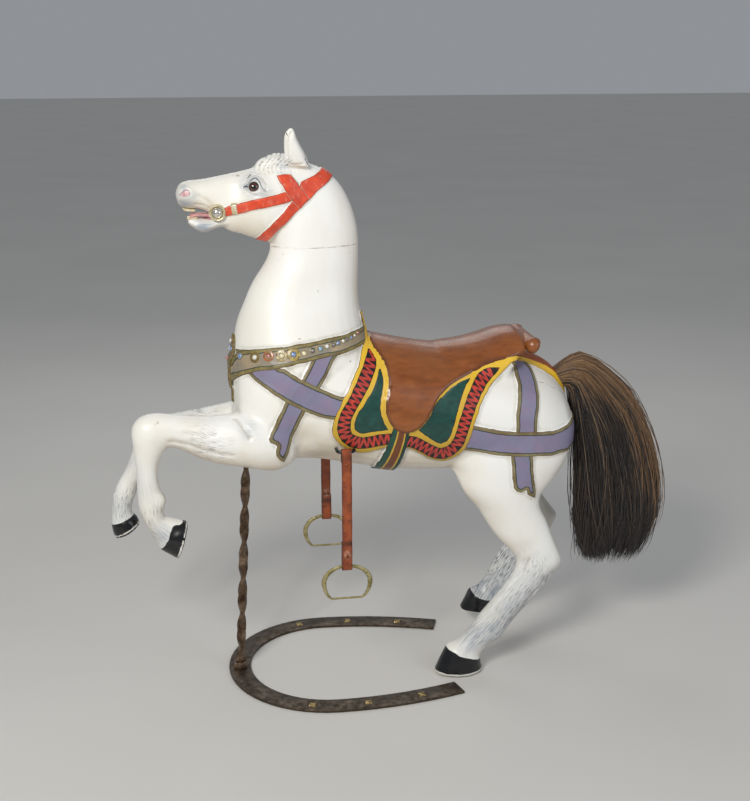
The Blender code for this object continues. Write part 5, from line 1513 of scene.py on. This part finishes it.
hair_coat = horse_hair()
STRAND_POINTS = 20
HANG_FROM, HANG_TO, HANG_SHARE = 0.80, 0.226, 0.62
THIGH_CLOSE = 0.009
tail_rings = [ring_matrix(ring) for ring in flow(TAIL, 4)]
LAST_RING = len(tail_rings) - 1
LOCK_COUNT = 70
LOCKS = [(random.uniform(-math.pi, math.pi), random.uniform(0.86, 1.02)) for _ in range(LOCK_COUNT)]


def strand(angle, drift, depth, length, wave, phase):
    """Points of one strand down the tail: it leaves its lock's angle at the root by a drift and closes in on
    it towards the tip. The last fifth hangs down, and the hair on the horse's side lies close to the thigh."""
    count = max(8, round(length * STRAND_POINTS))
    ragged = random.uniform(-0.006, 0.030)
    points = []
    for i in range(count):
        share = length * i / (count - 1)
        sway = wave * share * math.sin(phase + share * 6.0)
        swirl = angle + drift * (1.25 - share) + 0.05 * sway
        inner = depth * (1 - 0.04 * math.sin(phase * 2 + share * 9))
        round_it = Vector((inner * math.cos(swirl), inner * math.sin(swirl), 0))
        spot = tail_rings[round(share * LAST_RING)] @ round_it
        if share > HANG_FROM:
            above = tail_rings[round(HANG_FROM * LAST_RING)] @ round_it
            down = (share - HANG_FROM) / (1 - HANG_FROM)
            hung = Vector((above.x, above.y, above.z + (HANG_TO + ragged - above.z) * down))
            spot = spot.lerp(hung, HANG_SHARE)
        spot.x -= THIGH_CLOSE * max(0.0, -math.cos(angle)) * math.sin(math.pi * min(1.0, share / 0.5))
        points.append(spot + Vector((sway * 0.010, math.sin(phase * 3 + share * 8) * share * 0.006 * wave, 0)))
    return points


def tail_hair(name, count, radius, reach, gold, stray):
    """Bunch of strands in locks; a share of them gold over the black and a share standing off the bunch."""
    lines, lift, golds = [], [], []
    for _ in range(count):
        in_lock = random.random() < 0.8
        angle, lock_depth = random.choice(LOCKS) if in_lock else (random.uniform(-3.14, 3.14), 0.95)
        depth = random.uniform(*reach) * lock_depth
        wave = random.uniform(0.2, 1.2)
        if random.random() < stray:
            depth, wave = depth * random.uniform(1.02, 1.11), random.uniform(1.5, 3.4)
        length = random.choice([random.uniform(*span) for span in ((0.8, 1.0), (0.9, 1.0), (0.5, 0.85))])
        points = strand(angle, random.gauss(0, 0.07), depth, length, wave, random.uniform(0, 6.28))
        golden = random.random() < gold
        thick = radius * random.uniform(0.6, 1.25) * (0.75 if golden else 1.0)
        shift = random.gauss(0, 22)
        ends = len(points) - 1
        lines.append([(point, thick * min(1.0, 0.5 + 4 * i / ends) * min(1.0, (1 - i / ends) * 5 + 0.1))
                      for i, point in enumerate(points)])
        lift += [shift] * len(points)
        golds += [max(0.0, 1 - 1.1 * i / ends) if golden else 0.0 for i in range(len(points))]
    flat = [(point.x / MM, point.z / MM) for line in lines for point, _ in line]
    reach_in = inside(np.array(flat), TAN_HAIR)[0] + np.array(lift)
    tone = np.clip(step_up(reach_in, 14) * (0.72 + np.array(lift) / 120), 0, 1)
    readings = {"tone": np.maximum(tone, np.array(golds) * 0.7), "pale": np.array(golds)}
    tubes(name, lines, hair_coat, 4, readings=readings)


bm = bmesh.new()
shrink = Matrix.Diagonal((0.78, 0.78, 1, 1))
sweep(bm, [matrix @ shrink for matrix in tail_rings[:-8:2]], 40)
core = finished("tail_core", bm, hair_coat, ("tail",))
co, _ = mesh_arrays(core.data)
note(core.data, "tone", 0.4 * step_up(inside(co[:, [0, 2]] / MM, TAN_HAIR)[0], 14))
note(core.data, "pale", np.zeros(len(co)))
tail_hair("tail_strands_inner", count=1150, radius=0.0013, reach=(0.74, 0.90), gold=0.0, stray=0.0)
tail_hair("tail_strands_middle", count=1200, radius=0.0011, reach=(0.86, 1.0), gold=0.03, stray=0.02)
tail_hair("tail_strands_outer", count=1200, radius=0.0009, reach=(0.94, 1.03), gold=0.13, stray=0.17)

# Floor, light and camera

FLOOR_REACH, FLOOR_DROP = 30.0, 0.0005
material, tree, shader = new_material("pale_studio_floor", roughness=0.75)
wire(tree, shader, {"Base Color": layered(tree, "#D8D6D1", (speckle(tree, 900, 2.0), "#D4D2CD"))})
bm = bmesh.new()
bmesh.ops.create_grid(bm, x_segments=8, y_segments=8, size=FLOOR_REACH)
mesh = bpy.data.meshes.new("studio_floor")
bm.to_mesh(mesh)
bm.free()
floor = bpy.data.objects.new("studio_floor", mesh)
floor.data.materials.append(material)
bpy.context.scene.collection.objects.link(floor)
floor.location.z = -FLOOR_DROP

world = bpy.data.worlds.new("soft_studio")
world.use_nodes = True
wire(world.node_tree, world.node_tree.nodes["Background"], {"Color": srgb("#D4D8DE"), "Strength": 0.42})
bpy.context.scene.world = world


def soft_light(name, place, aim, size, power, tint):
    """Large soft lamp aimed at a point."""
    lamp = bpy.data.lights.new(name, "AREA")
    lamp.shape = "RECTANGLE"
    lamp.size, lamp.size_y = size
    lamp.energy = power
    lamp.color = srgb(tint)[:3]
    fixture = bpy.data.objects.new(name, lamp)
    fixture.location = place
    fixture.rotation_euler = (Vector(aim) - Vector(place)).to_track_quat("-Z", "Y").to_euler()
    bpy.context.scene.collection.objects.link(fixture)


soft_light("key", place=(-1.7, -3.2, 3.0), aim=(0.2, 0, 0.7), size=(1.2, 1.2), power=120, tint="#FFFCF7")
soft_light("fill", place=(2.6, -2.6, 1.9), aim=(0.4, 0, 0.7), size=(2.2, 2.2), power=26, tint="#F4F6FF")
soft_light("back", place=(0.4, 2.8, 2.6), aim=(0.3, 0, 0.8), size=(2.4, 1.4), power=14, tint="#FFFFFF")

# The photograph's camera: image height and focal length in pixels, sensor in mm, row of the horizon
PICTURE_HEIGHT, FOCAL_PIXELS, SENSOR, HORIZON_ROW = 801, 1290, 36, 32
CAMERA_PLACE, CAMERA_YAW = (-0.1779, -2.9719, 1.55), math.radians(10)
camera = bpy.data.cameras.new("camera")
camera.sensor_width = SENSOR
camera.lens = FOCAL_PIXELS / PICTURE_HEIGHT * SENSOR
viewer = bpy.data.objects.new("camera", camera)
viewer.location = CAMERA_PLACE
pitch = math.atan((PICTURE_HEIGHT / 2 - HORIZON_ROW) / FOCAL_PIXELS)
viewer.rotation_euler = (math.pi / 2 - pitch, 0, -CAMERA_YAW)
bpy.context.scene.collection.objects.link(viewer)
bpy.context.scene.camera = viewer
bpy.context.scene.view_settings.view_transform = "Standard"
